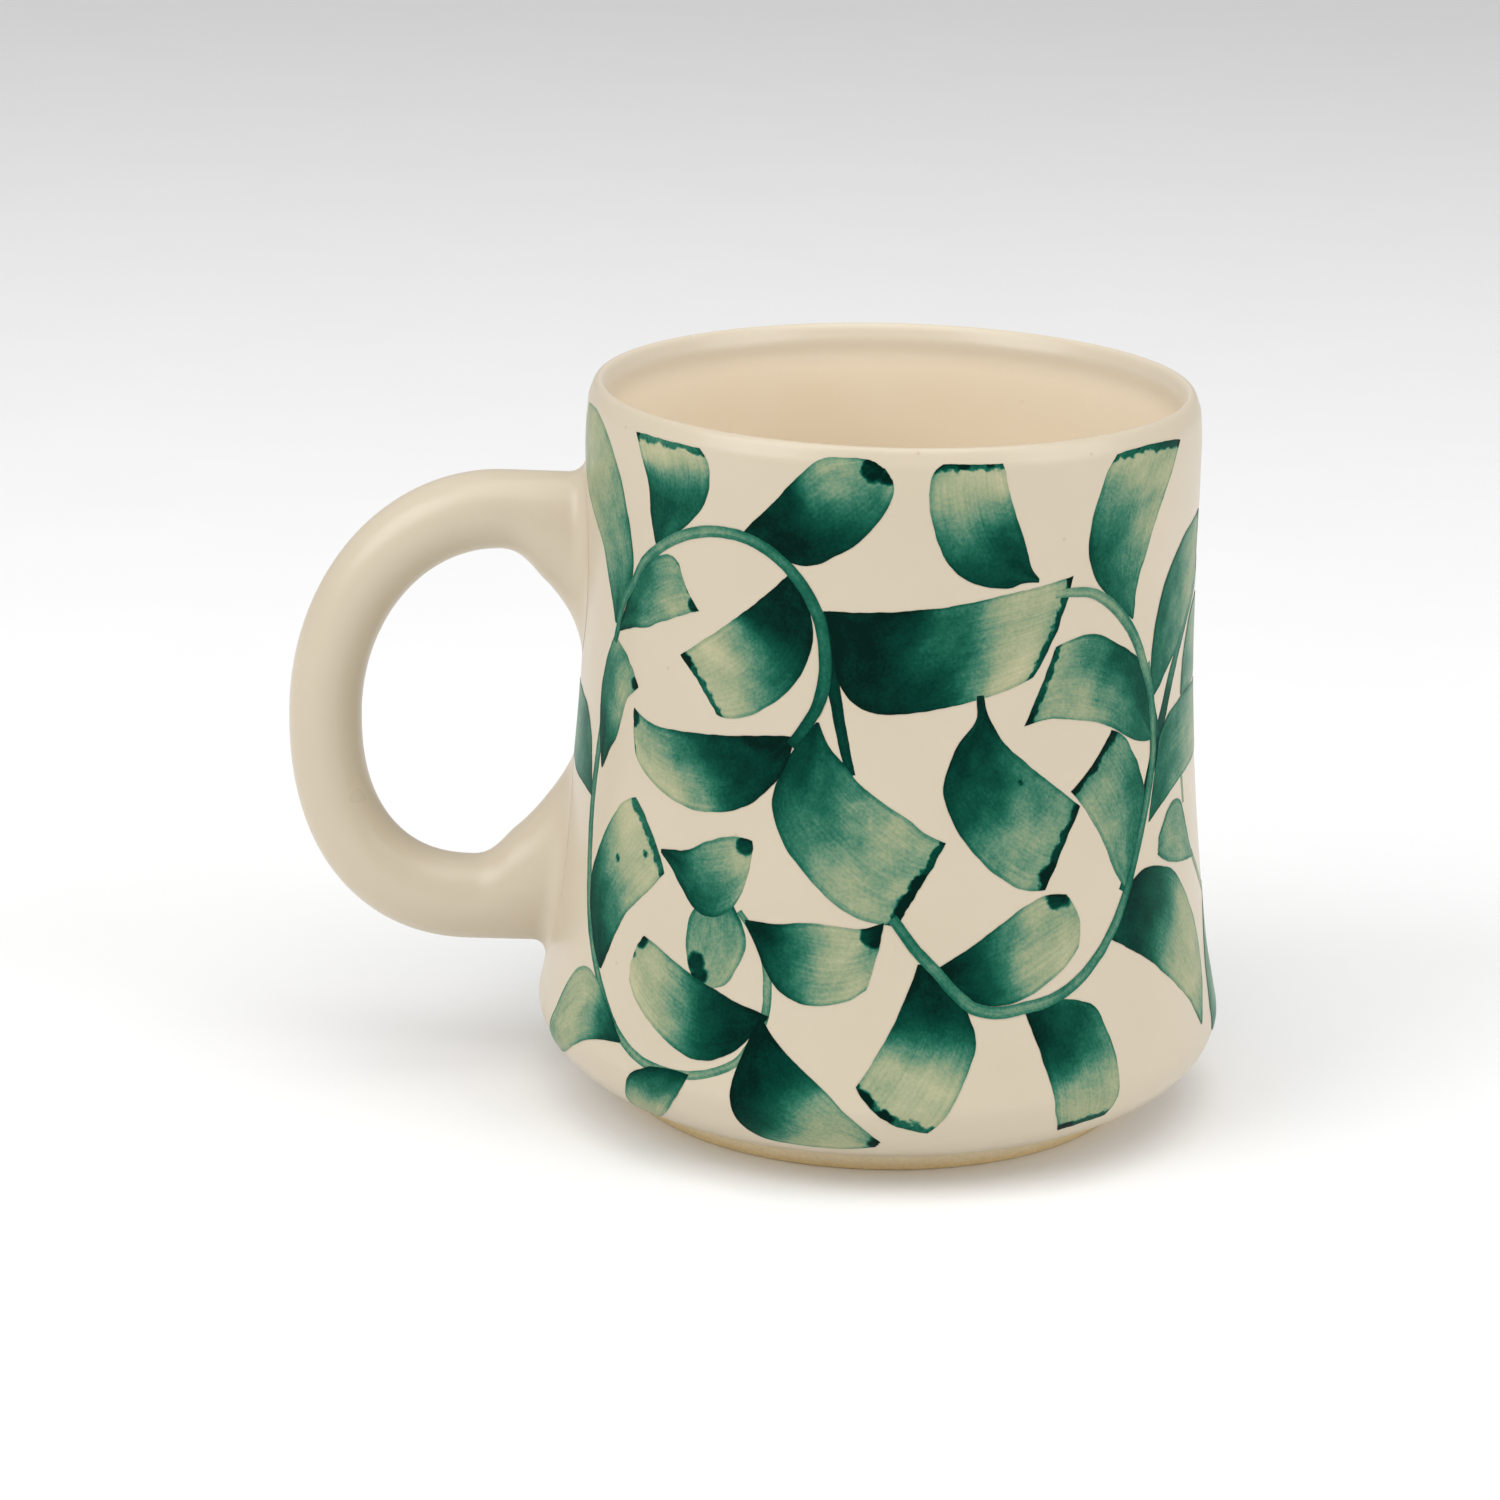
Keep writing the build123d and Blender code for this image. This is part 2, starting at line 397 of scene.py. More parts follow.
def makeTurningTree():
    # spins a closed line, drawn in the XZ plane, about the upright axis; a hand-made wobble is added
    tree, add, given = newTree("turnedOnTheWheel", [
        ("Turns Around", "Int", 200), ("Wobble", "Float", 0.1 * mm), ("Seed", "Float", 0.0),
        ("Material", "Material", None)])
    count = add("AttributeDomainSize", [given["Geometry"]]).outputs["Point Count"]
    rows = add("IntegerMath", [count, 1], **plus)
    columns = add("IntegerMath", [given["Turns Around"], 1], **plus)
    grid = add("MeshGrid", {"Vertices X": columns, "Vertices Y": rows})
    index = add("InputIndex")
    column = add("IntegerMath", [index, rows], operation="DIVIDE_FLOOR")
    turn = add("Math", [column, given["Turns Around"]], **over)
    turn = add("Math", [turn, math.tau], **times)
    row = add("IntegerMath", [index, rows], operation="MODULO")
    row = add("IntegerMath", [row, count], operation="MODULO")
    onLine = add("SampleIndex", {"Geometry": given["Geometry"], "Value": add("InputPosition"), "Index": row},
                 data_type="FLOAT_VECTOR")
    line = add("SeparateXYZ", [onLine]).outputs
    cosine, sine = add("Math", [turn], operation="COSINE"), add("Math", [turn], operation="SINE")
    spread = add("Math", [line["Z"], cup["wobbleRise"]], **times)
    noise = add("TexNoise", {"Vector": add("CombineXYZ", [cosine, sine, spread]), "W": given["Seed"],
                             "Scale": cup["wobbleScale"], "Detail": 1.0}, noise_dimensions="4D")
    noise = add("Math", [noise, 0.5], **minus)
    stray = add("Math", [given["Wobble"], 2.0], **times)
    stray = add("Math", [noise, stray], **times)
    outness = add("Math", [line["X"], cup["calmMiddle"] * mm], **over)
    outness = add("Math", [outness, 1.0], operation="MINIMUM")
    stray = add("Math", [stray, outness], **times)
    radius = add("Math", [line["X"], stray], **plus)
    x, y = [add("Math", [radius, part], **times) for part in (cosine, sine)]
    turned = add("SetPosition", {"Geometry": grid, "Position": add("CombineXYZ", [x, y, line["Z"]])})
    endTree(add, given, turned, 0.002 * mm)
    return tree


turningTree = makeTurningTree()


def turnedPiece(name, loop, material):
    # one closed solid of revolution, from the points of its closed line in mm
    mesh = bpy.data.meshes.new(name + "Line")
    points = [(p[0] * mm, 0, p[1] * mm) for p in loop]
    mesh.from_pydata(points, [(i, (i + 1) % len(points)) for i in range(len(points))], [])
    thing = linkObject(name + "Line", mesh)
    useTree(thing, turningTree, **{"Turns Around": cup["turnsAround"], "Wobble": cup["wobble"] * mm,
                                   "Seed": float(cup["seed"]), "Material": material})
    piece = plainMesh(thing, name, material)
    print("turned", name, len(piece.data.polygons), "faces")
    return piece


def makeCup(cream, bounceWarmed, clay):
    glaze, edge, ringIn = cup["glaze"], cup["footEdge"], footHigh.x / mm
    low, high = footLow.z / mm, footHigh.z / mm
    wall, hollow = movedIn(outsideWall, glaze), movedIn(insideWall, glaze)
    hollow[-1].x = 0
    turns = [math.radians(15 * k) for k in range(7)]
    outer = [(cup["footRadius"] - edge * (1 - math.sin(turn)), edge * (1 - math.cos(turn))) for turn in turns]
    inner = [(ringIn + cup["footRadius"] - radius, height) for radius, height in reversed(outer)]
    foot = [(0, low + glaze), (ringIn, low + glaze), *inner, *outer, (cup["footTop"], cup["footHeight"])]
    recess = [(0, low), (ringIn, low), (ringIn, high), (0, high)]
    pieces = [turnedPiece("cupClay", foot + wall + hollow, clay),
              turnedPiece("outsideGlaze", outsideWall + wall[::-1], cream),
              turnedPiece("insideGlaze", insideWall + hollow[::-1], bounceWarmed),
              turnedPiece("undersideGlaze", recess, cream)]
    nodes = ["cup_body", "outside_glaze", "inside_glaze", "underside_glaze"]
    slots = ["buff_stoneware", "cream_glaze", "honey_glaze", "cream_glaze"]
    for piece, node, slot in zip(pieces, nodes, slots):
        rideRoot(piece, slot, node)
    return pieces[1]


handle = {
    # middles of the bar, x and height, and half depths, all in mm
    "grip": (-78.15, 51.5), "gripHalfDepth": 5.05,
    "upperArm": (-53.5, 81.7), "upperHalfDepth": 5.45, "upperSquareness": 2.0,
    "upperWall": -41.0, "upperReach": 5.6, "upperPower": 1.2,
    "lowerArm": (-57.5, 25.4), "lowerHalfDepth": 6.05, "lowerSquareness": 2.3,
    "lowerWall": -43.0, "lowerReach": 7.5, "lowerPower": 1.4,
    "halfWidth": 5.5, "rootHalfWidth": 6.8, "rootFlare": 7.0, "flareFade": 6.0,
    "slip": 2.4,           # radius of the slip smoothed into the corner with the cup
    "sunk": 0.28,          # how far the edge of the slip goes into the cup's glaze
    "around": 72, "quarterSteps": 60, "armSteps": 14, "slipSteps": 9, "halvings": 30,
}


def makeHandle(cream):
    # one bar from wall to wall; each of its lines around is followed on its own, so that both ends
    # spread evenly onto the curved wall
    h = handle
    slip = h["slip"]

    def armPoint(x, turn, side):
        # a point of the bar's skin beside the cup, and the way out of the bar there
        name = "upper" if side > 0 else "lower"
        armX, armZ = h[name + "Arm"]
        fade = min(max((x - armX) / h["flareFade"], 0), 1)
        spread = math.exp(-((max(h[name + "Wall"] - x, 0) / h[name + "Reach"]) ** h[name + "Power"]))
        spread *= fade * fade * (3 - 2 * fade)
        deep = h[name + "HalfDepth"] + h["rootFlare"] * spread
        wide = h["halfWidth"] + (h["rootHalfWidth"] - h["halfWidth"]) * spread
        middle = armZ - side * h["rootFlare"] * spread
        out = Vector((0, math.cos(turn) / wide, side * math.sin(turn) / deep)).normalized()
        return Vector((x, wide * math.cos(turn), middle + side * deep * math.sin(turn))), out

    def armAtGap(turn, side, wanted):
        # how far in the bar's skin is when it is this far from the wall
        far, near = h["upperArm"][0], -30.0
        for _ in range(h["halvings"]):
            x = (far + near) / 2
            point = armPoint(x, turn, side)[0]
            gap = math.hypot(point.x, point.y) - wallRadius(point.z)
            far, near = (x, near) if gap > wanted else (far, x)
        return (far + near) / 2

    def armColumn(turn, side):
        # from the arm's outer end to just inside the glazed wall
        start = h["upperArm" if side > 0 else "lowerArm"][0]
        stop = armAtGap(turn, side, slip)
        column = [armPoint(start + (stop - start) * k / h["armSteps"], turn, side)[0]
                  for k in range(1, h["armSteps"] + 1)]
        for k in range(1, h["slipSteps"] + 1):
            lean = math.pi / 2 * k / h["slipSteps"]
            above = slip * (1 - math.sin(lean))
            point, out = armPoint(armAtGap(turn, side, above), turn, side)
            point = point + out * slip * (1 - math.cos(lean))
            column.append(movedOut(point, wallRadius(point.z) + above))
        edge = column[-1]
        return column + [movedOut(edge, math.hypot(edge.x, edge.y) - h["sunk"])]

    def movedOut(point, radius):
        # the same point at another distance from the cup's axis
        share = radius / math.hypot(point.x, point.y)
        return Vector((point.x * share, point.y * share, point.z))

    def quarterPlace(name, turn):
        (armX, armZ), (gripX, gripZ) = h[name + "Arm"], h["grip"]
        power = 2 / h[name + "Squareness"]
        reach = math.copysign(abs(math.cos(turn)) ** power, math.cos(turn))
        drop = math.copysign(abs(math.sin(turn)) ** power, math.sin(turn))
        return Vector((armX + (gripX - armX) * reach, 0, gripZ + (armZ - gripZ) * drop))

    def quarterColumn(turn, name, side):
        # from the grip to the arm
        column = []
        for k in range(h["quarterSteps"] + 1):
            along = math.pi / 2 * k / h["quarterSteps"]
            run = quarterPlace(name, along + 0.01) - quarterPlace(name, along - 0.01)
            out = Vector((-run.z, 0, run.x)).normalized() * side
            deep = h["gripHalfDepth"] + (h[name + "HalfDepth"] - h["gripHalfDepth"]) * math.sin(along) ** 2
            column.append(quarterPlace(name, along) + out * deep * math.sin(turn)
                          + Vector((0, h["halfWidth"] * math.cos(turn), 0)))
        return column

    shape = bmesh.new()
    grid = []
    for k in range(h["around"]):
        turn = math.tau * k / h["around"]
        upper = quarterColumn(turn, "upper", 1) + armColumn(turn, 1)
        lower = quarterColumn(turn, "lower", -1) + armColumn(turn, -1)
        grid.append([shape.verts.new(point * mm) for point in upper[::-1] + lower[1:]])
    for a, b in zip(grid, grid[1:] + grid[:1]):
        for i in range(len(a) - 1):
            shape.faces.new((a[i], a[i + 1], b[i + 1], b[i]))
    for end in (0, -1):
        shape.faces.new([column[end] for column in grid])
    piece = finishPiece(shape, bpy.data.meshes.new("pulledHandle"), "pulledHandle", cream, 50)
    rideRoot(piece, "cream_glaze", "handle", "handle_glaze", "upper_handle_joint", "lower_handle_joint")
    print("handle", len(piece.data.polygons), "faces")


stroke = {
    # what every stroke shares, lengths in mm
    "around": 44.0,        # the radius on which the flat drawing is measured out
    "lift": 0.035, "thickness": 0.06,
    "layer": 0.0014,       # how much higher each stroke lies than the one before it
    "contrast": 0.055,     # how much the loaded and the thin paint are driven apart
    "frayGrain": 2.6, "wanderGrain": 2.4, "bowPower": 6.0, "sharpEdge": 4.0,
    "rayStart": 80, "rayLength": 60,
    # what a stroke may wish otherwise
    "steps": 52, "hairs": 22, "width": 11.0, "wander": 0.22, "ragged": 0.7, "raggedStart": 0.0,
    "startBow": 0.0, "endBow": 0.0, "darkEnd": 1.0, "pools": [],
}


def flat(degrees, height):
    return Vector((math.radians(degrees) * stroke["around"], height))


def makeStrokeTree():
    # fills the room between two rails with a fine sheet, frays its ends and lays it on the wall
    tree, add, given = newTree("brushStroke", [
        ("Wall", "Object", None), ("Steps Along", "Int", 50), ("Hairs Across", "Int", 14),
        ("Drawing Radius", "Float", 44 * mm), ("Lift", "Float", 0.05 * mm), ("Ragged Start", "Float", 0.0),
        ("Ragged End", "Float", 0.0), ("Start Bow", "Float", 0.0), ("End Bow", "Float", 0.0),
        ("Edge Wander", "Float", 0.2 * mm), ("Brush Width", "Float", 10 * mm), ("Dark End", "Float", 1.0),
        ("Pool One", "Vector", (0, 0, -1)), ("Pool Two", "Vector", (0, 0, -1)), ("Seed", "Float", 0.0),
        ("Material", "Material", None)])
    scaled = {"operation": "SCALE"}

    def unevenness(place, size):
        # a pattern of a size in mm that is different in every stroke
        return add("TexNoise", {"Vector": place, "W": given["Seed"], "Scale": 1 / (size * mm), "Detail": 2.0},
                   noise_dimensions="4D").outputs

    # how far along and across the stroke each point lies, with both ends frayed
    grid = add("MeshGrid", {"Vertices X": given["Steps Along"], "Vertices Y": given["Hairs Across"]})
    unit = add("SeparateXYZ", [add("InputPosition")]).outputs
    even, across = [add("Math", [unit[axis], 0.5], **plus) for axis in "XY"]
    otherSide = add("Math", [1.0, across], **minus)
    length = add("Math", [add("CurveLength", [given["Geometry"]]), 0.5], **times)
    side = add("Math", [across, given["Brush Width"]], **times)
    frays = []
    for start, reach in ((0.0, "Ragged End"), (0.03, "Ragged Start")):
        fray = unevenness(add("CombineXYZ", [side, start, 0.0]), stroke["frayGrain"])["Fac"]
        frays.append(add("Math", [add("Math", [fray, given[reach]], **times), length], **over))
    last, first = add("Math", [1.0, frays[0]], **minus), frays[1]
    reach = add("Math", [last, first], **minus)
    along = add("Math", [first, add("Math", [even, reach], **times)], **plus)

    # the flat drawing: between the rails, bowed at the ends and straying at the edges
    rails = [add("SampleCurve", {"Curves": given["Geometry"], "Value": add("InputRadius"), "Factor": along,
                                 "Curve Index": i}, mode="FACTOR", use_all_curves=False,
                 data_type="FLOAT").outputs for i in (0, 1)]
    between = add("VectorMath", [rails[1]["Position"], rails[0]["Position"]], **minus)
    step = add("VectorMath", {0: between, "Scale": across}, **scaled)
    drawn = add("VectorMath", [rails[0]["Position"], step], **plus)
    tone = add("Math", [add("Math", [rails[0]["Value"], otherSide], **times),
                        add("Math", [rails[1]["Value"], across], **times)], **plus)
    heading = add("VectorMath", [rails[0]["Tangent"], rails[1]["Tangent"]], **plus)
    heading = add("VectorMath", [heading], operation="NORMALIZE")
    belly = add("Math", [add("Math", [across, otherSide], **times), 4.0], **times)
    left = add("Math", [1.0, along], **minus)
    bows = [add("Math", [given[name], add("Math", [where, stroke["bowPower"]], operation="POWER")], **times)
            for name, where in (("End Bow", along), ("Start Bow", left))]
    bow = add("Math", [belly, add("Math", bows, **minus)], **times)
    drawn = add("VectorMath", [drawn, add("VectorMath", {0: heading, "Scale": bow}, **scaled)], **plus)
    strayed = add("VectorMath", [unevenness(drawn, stroke["wanderGrain"])["Color"], (0.5, 0.5, 0.5)], **minus)
    outer = add("Math", [across, 2.0, -1.0], operation="MULTIPLY_ADD")
    outer = add("Math", [add("Math", [outer], operation="ABSOLUTE"), stroke["sharpEdge"]], operation="POWER")
    reach = add("Math", [outer, add("Math", [given["Edge Wander"], 2.0], **times)], **times)
    drawn = add("VectorMath", [drawn, add("VectorMath", {0: strayed, "Scale": reach}, **scaled)], **plus)
    spot = add("SeparateXYZ", [drawn]).outputs

    # wrapped round the cup and laid on its wall
    turn = add("Math", [spot["X"], given["Drawing Radius"]], **over)
    back = add("Math", [add("Math", [turn], operation="COSINE"), -1.0], **times)
    outward = add("CombineXYZ", [add("Math", [turn], operation="SINE"), back, 0.0])
    far = add("VectorMath", {0: outward, "Scale": stroke["rayStart"] * mm}, **scaled)
    source = add("VectorMath", [far, add("CombineXYZ", [0.0, 0.0, spot["Z"]])], **plus)
    ray = add("Raycast", {
        "Target Geometry": add("ObjectInfo", {"Object": given["Wall"]}).outputs["Geometry"],
        "Source Position": source, "Ray Length": stroke["rayLength"] * mm,
        "Ray Direction": add("VectorMath", {0: outward, "Scale": -1.0}, **scaled)}).outputs
    lift = add("VectorMath", {0: ray["Hit Normal"], "Scale": given["Lift"]}, **scaled)
    laid = add("VectorMath", [ray["Hit Position"], lift], **plus)

    # what the paint needs to know: its load, the run of the bristles, and how near the edges and pools are
    toEnd = add("Math", [add("Math", [last, along], **minus), length], **times)
    plain = add("Math", [add("Math", [1.0, given["Dark End"]], **minus), 3 * mm], **times)
    toEnd = add("Math", [toEnd, plain], **plus)
    toSide = add("Math", [add("Math", [across, otherSide], operation="MINIMUM"),
                          add("VectorMath", [between], operation="LENGTH").outputs["Value"]], **times)
    place, pools = add("CombineXYZ", [spot["X"], spot["Z"], 0.0]), []
    for name in ("Pool One", "Pool Two"):
        pool = add("SeparateXYZ", [given[name]]).outputs
        middle = add("CombineXYZ", [pool["X"], pool["Y"], 0.0])
        away = add("VectorMath", [place, middle], operation="DISTANCE").outputs["Value"]
        pools.append(add("Math", [away, pool["Z"]], **minus))
    brushed = add("CombineXYZ", [add("Math", [along, length], **times), side, given["Seed"]])
    rims = add("CombineXYZ", [toEnd, add("Math", pools, operation="MINIMUM"), toSide])
    kept = grid
    for name, kind, value in (("tone", "FLOAT", tone), ("brushMap", "FLOAT_VECTOR", brushed),
                              ("rims", "FLOAT_VECTOR", rims)):
        kept = add("StoreNamedAttribute", {"Geometry": kept, "Name": name, "Value": value}, data_type=kind,
                   domain="POINT")
    endTree(add, given, add("SetPosition", {"Geometry": kept, "Position": laid}), 0.01 * mm)
    return tree


strokeTree = makeStrokeTree()
laidStrokes = []


def layStroke(name, wall, green, a, b, **wishes):
    # a and b are the two sides: points (degrees round the cup, height in mm, load of paint from 0 to 1)
    s = {**stroke, **wishes}
    laidStrokes.append(name)
    corners = [flat(*point[:2]) for point in a + b[::-1]]
    if sum(p.x * q.y - p.y * q.x for p, q in zip(corners, corners[1:] + corners[:1])) < 0:
        a, b = b, a   # so that every stroke faces outwards
    curve = bpy.data.curves.new(name + "Rails", "CURVE")
    curve.dimensions = "3D"
    curve.resolution_u = 8
    for rail in (a, b):
        spline = curve.splines.new("BEZIER")
        spline.bezier_points.add(len(rail) - 1)
        for point, (degrees, height, load) in zip(spline.bezier_points, rail):
            spot = flat(degrees, height)
            point.co = (spot.x * mm, 0, spot.y * mm)
            point.handle_left_type = point.handle_right_type = "AUTO"
            point.radius = load + s["contrast"] * math.sin(math.tau * (load - 0.5))
    thing = linkObject(name + "Rails", curve)
    pools = [Vector((*(flat(x, z) * mm), r * mm)) for x, z, r in s["pools"]] + [Vector((0, 0, -1))] * 2
    lengths = {"Drawing Radius": "around", "Ragged Start": "raggedStart", "Ragged End": "ragged",
               "Start Bow": "startBow", "End Bow": "endBow", "Edge Wander": "wander", "Brush Width": "width"}
    useTree(thing, strokeTree, **{
        "Wall": wall, "Steps Along": s["steps"], "Hairs Across": s["hairs"], "Dark End": s["darkEnd"],
        "Lift": (s["lift"] + s["layer"] * len(laidStrokes)) * mm, "Pool One": pools[0], "Pool Two": pools[1],
        "Seed": len(laidStrokes) * 1.37, "Material": green,
        **{socket: s[wish] * mm for socket, wish in lengths.items()}})
    solid = thing.modifiers.new("thickness", "SOLIDIFY")
    solid.thickness = s["thickness"] * mm
    solid.offset = -1
    rideRoot(plainMesh(thing, name, green), "green_underglaze")


def between(values, share):
    # a value from an evenly spread list, at a share of the way along it
    share *= len(values) - 1
    low = min(int(share), len(values) - 2)
    return values[low] + (values[low + 1] - values[low]) * (share - low)


vineBrush = {
    # share of a vine's width on each side of its middle, and how much paler than its load it comes out
    "halfWidth": 0.42, "paler": 0.02, "stepsPerPoint": 16,
    "stroke": {"hairs": 5, "width": 2.2, "ragged": 0.3, "wander": 0.16, "darkEnd": 0.2},
}


def vineRails(points, widths, loads):
    # two rails, one each side of a vine's middle line
    line = smoothLine([flat(*p) for p in points], 4)
    rails = [], []
    for i, point in enumerate(line):
        run, share = runAlong(line, i), i / (len(line) - 1)
        for rail, sign in zip(rails, (-1, 1)):
            spot = point + Vector((-run.y, run.x)) * between(widths, share) * vineBrush["halfWidth"] * sign
            tone = between(loads, share) - vineBrush["paler"]
            rail.append((math.degrees(spot.x / stroke["around"]), spot.y, tone))
    return rails


# degrees are counted from the middle of the front, towards the right as the mug is held by its left side
# vines are middle lines, with widths in mm and loads of paint spread evenly along them
vines = {
    "upperLoop": {"line": [(-60, 69), (-57, 75), (-54, 78), (-50, 82), (-46, 84.2), (-40, 86.7), (-34, 88),
        (-29, 88.2), (-24, 87.4), (-20, 85.8), (-16, 83), (-13, 79.5), (-11.3, 75), (-11, 71), (-12, 67),
        (-14.5, 63.5), (-17, 61)],
        "widths": [1.2, 1.6, 1.8, 1.8, 2, 2.2, 1.6], "load": [.55, .5, .5, .55, .6, .65, .75]},
    "lowerLoop": {"line": [(-64, 57), (-65, 52), (-65.5, 47), (-64.5, 40), (-63, 35), (-60.5, 29),
        (-57, 24.5), (-52, 20), (-47, 16.8), (-42, 15), (-37, 14.5), (-33, 14.6), (-27, 16), (-23, 18),
        (-20.5, 21), (-19, 24), (-18.7, 28), (-19.5, 32), (-22, 35.5), (-25, 38)],
        "widths": [2, 1.7, 1.5, 1.4, 1.3, 1.4, 1], "load": [.55, .52, .55, .48, .45, .48, .48]},
    "stem": {"line": [(-11.5, 79.3), (-10.5, 76), (-9.5, 70), (-8.5, 66), (-7, 61), (-5.8, 57.5)],
        "widths": [2.2, 2, 1.5], "load": [.95, .85, .8]},
    "rightLoop": {"line": [(31, 81.2), (35, 81.1), (39, 80.6), (43, 79), (47, 76.5), (51, 73), (54, 69),
        (56.5, 64.5), (57.5, 60), (57.4, 56), (56, 52), (54, 48), (51, 43), (48, 38.5), (44, 34), (40, 30.8),
        (35, 28), (30, 26.5), (25, 26), (20, 25.8), (16, 26.7), (13, 28.8), (9.5, 32), (7, 34), (4, 37),
        (2, 39)],
        "widths": [1.3, 1.8, 2, 1.8, 1.6, 1.8, 2, 1.8, 1.6],
        "load": [.42, .48, .52, .55, .55, .52, .5, .55, .6]},
    "climber": {"line": [(47, 39), (51, 44), (54, 49), (56.5, 53.5), (59, 57.5), (62, 61.5), (65, 65.5),
        (69, 69.5), (74, 73), (80, 75.5), (86, 77)],
        "widths": [1.6, 2.2, 2.5, 2.4, 2.2, 2], "load": [.6, .8, .85, .6, .55, .5]},
    "twig": {"line": [(55.5, 69), (57.5, 63), (59.5, 58)],
        "widths": [1, 1.3, 1.6], "load": [.5, .6, .7]},
    "tendril": {"line": [(70, 53), (70.4, 50), (70.8, 46.5)],
        "widths": [.8, .9, .8], "load": [.35, .35, .35]},
    "trailer": {"line": [(74.5, 39), (80, 34.5), (86, 31), (93, 29)],
        "widths": [1, 1.3, 1.2], "load": [.35, .35, .4]},
}
overLeaves = ("upperLoop", "rightLoop")   # painted after the leaves, the other vines before them

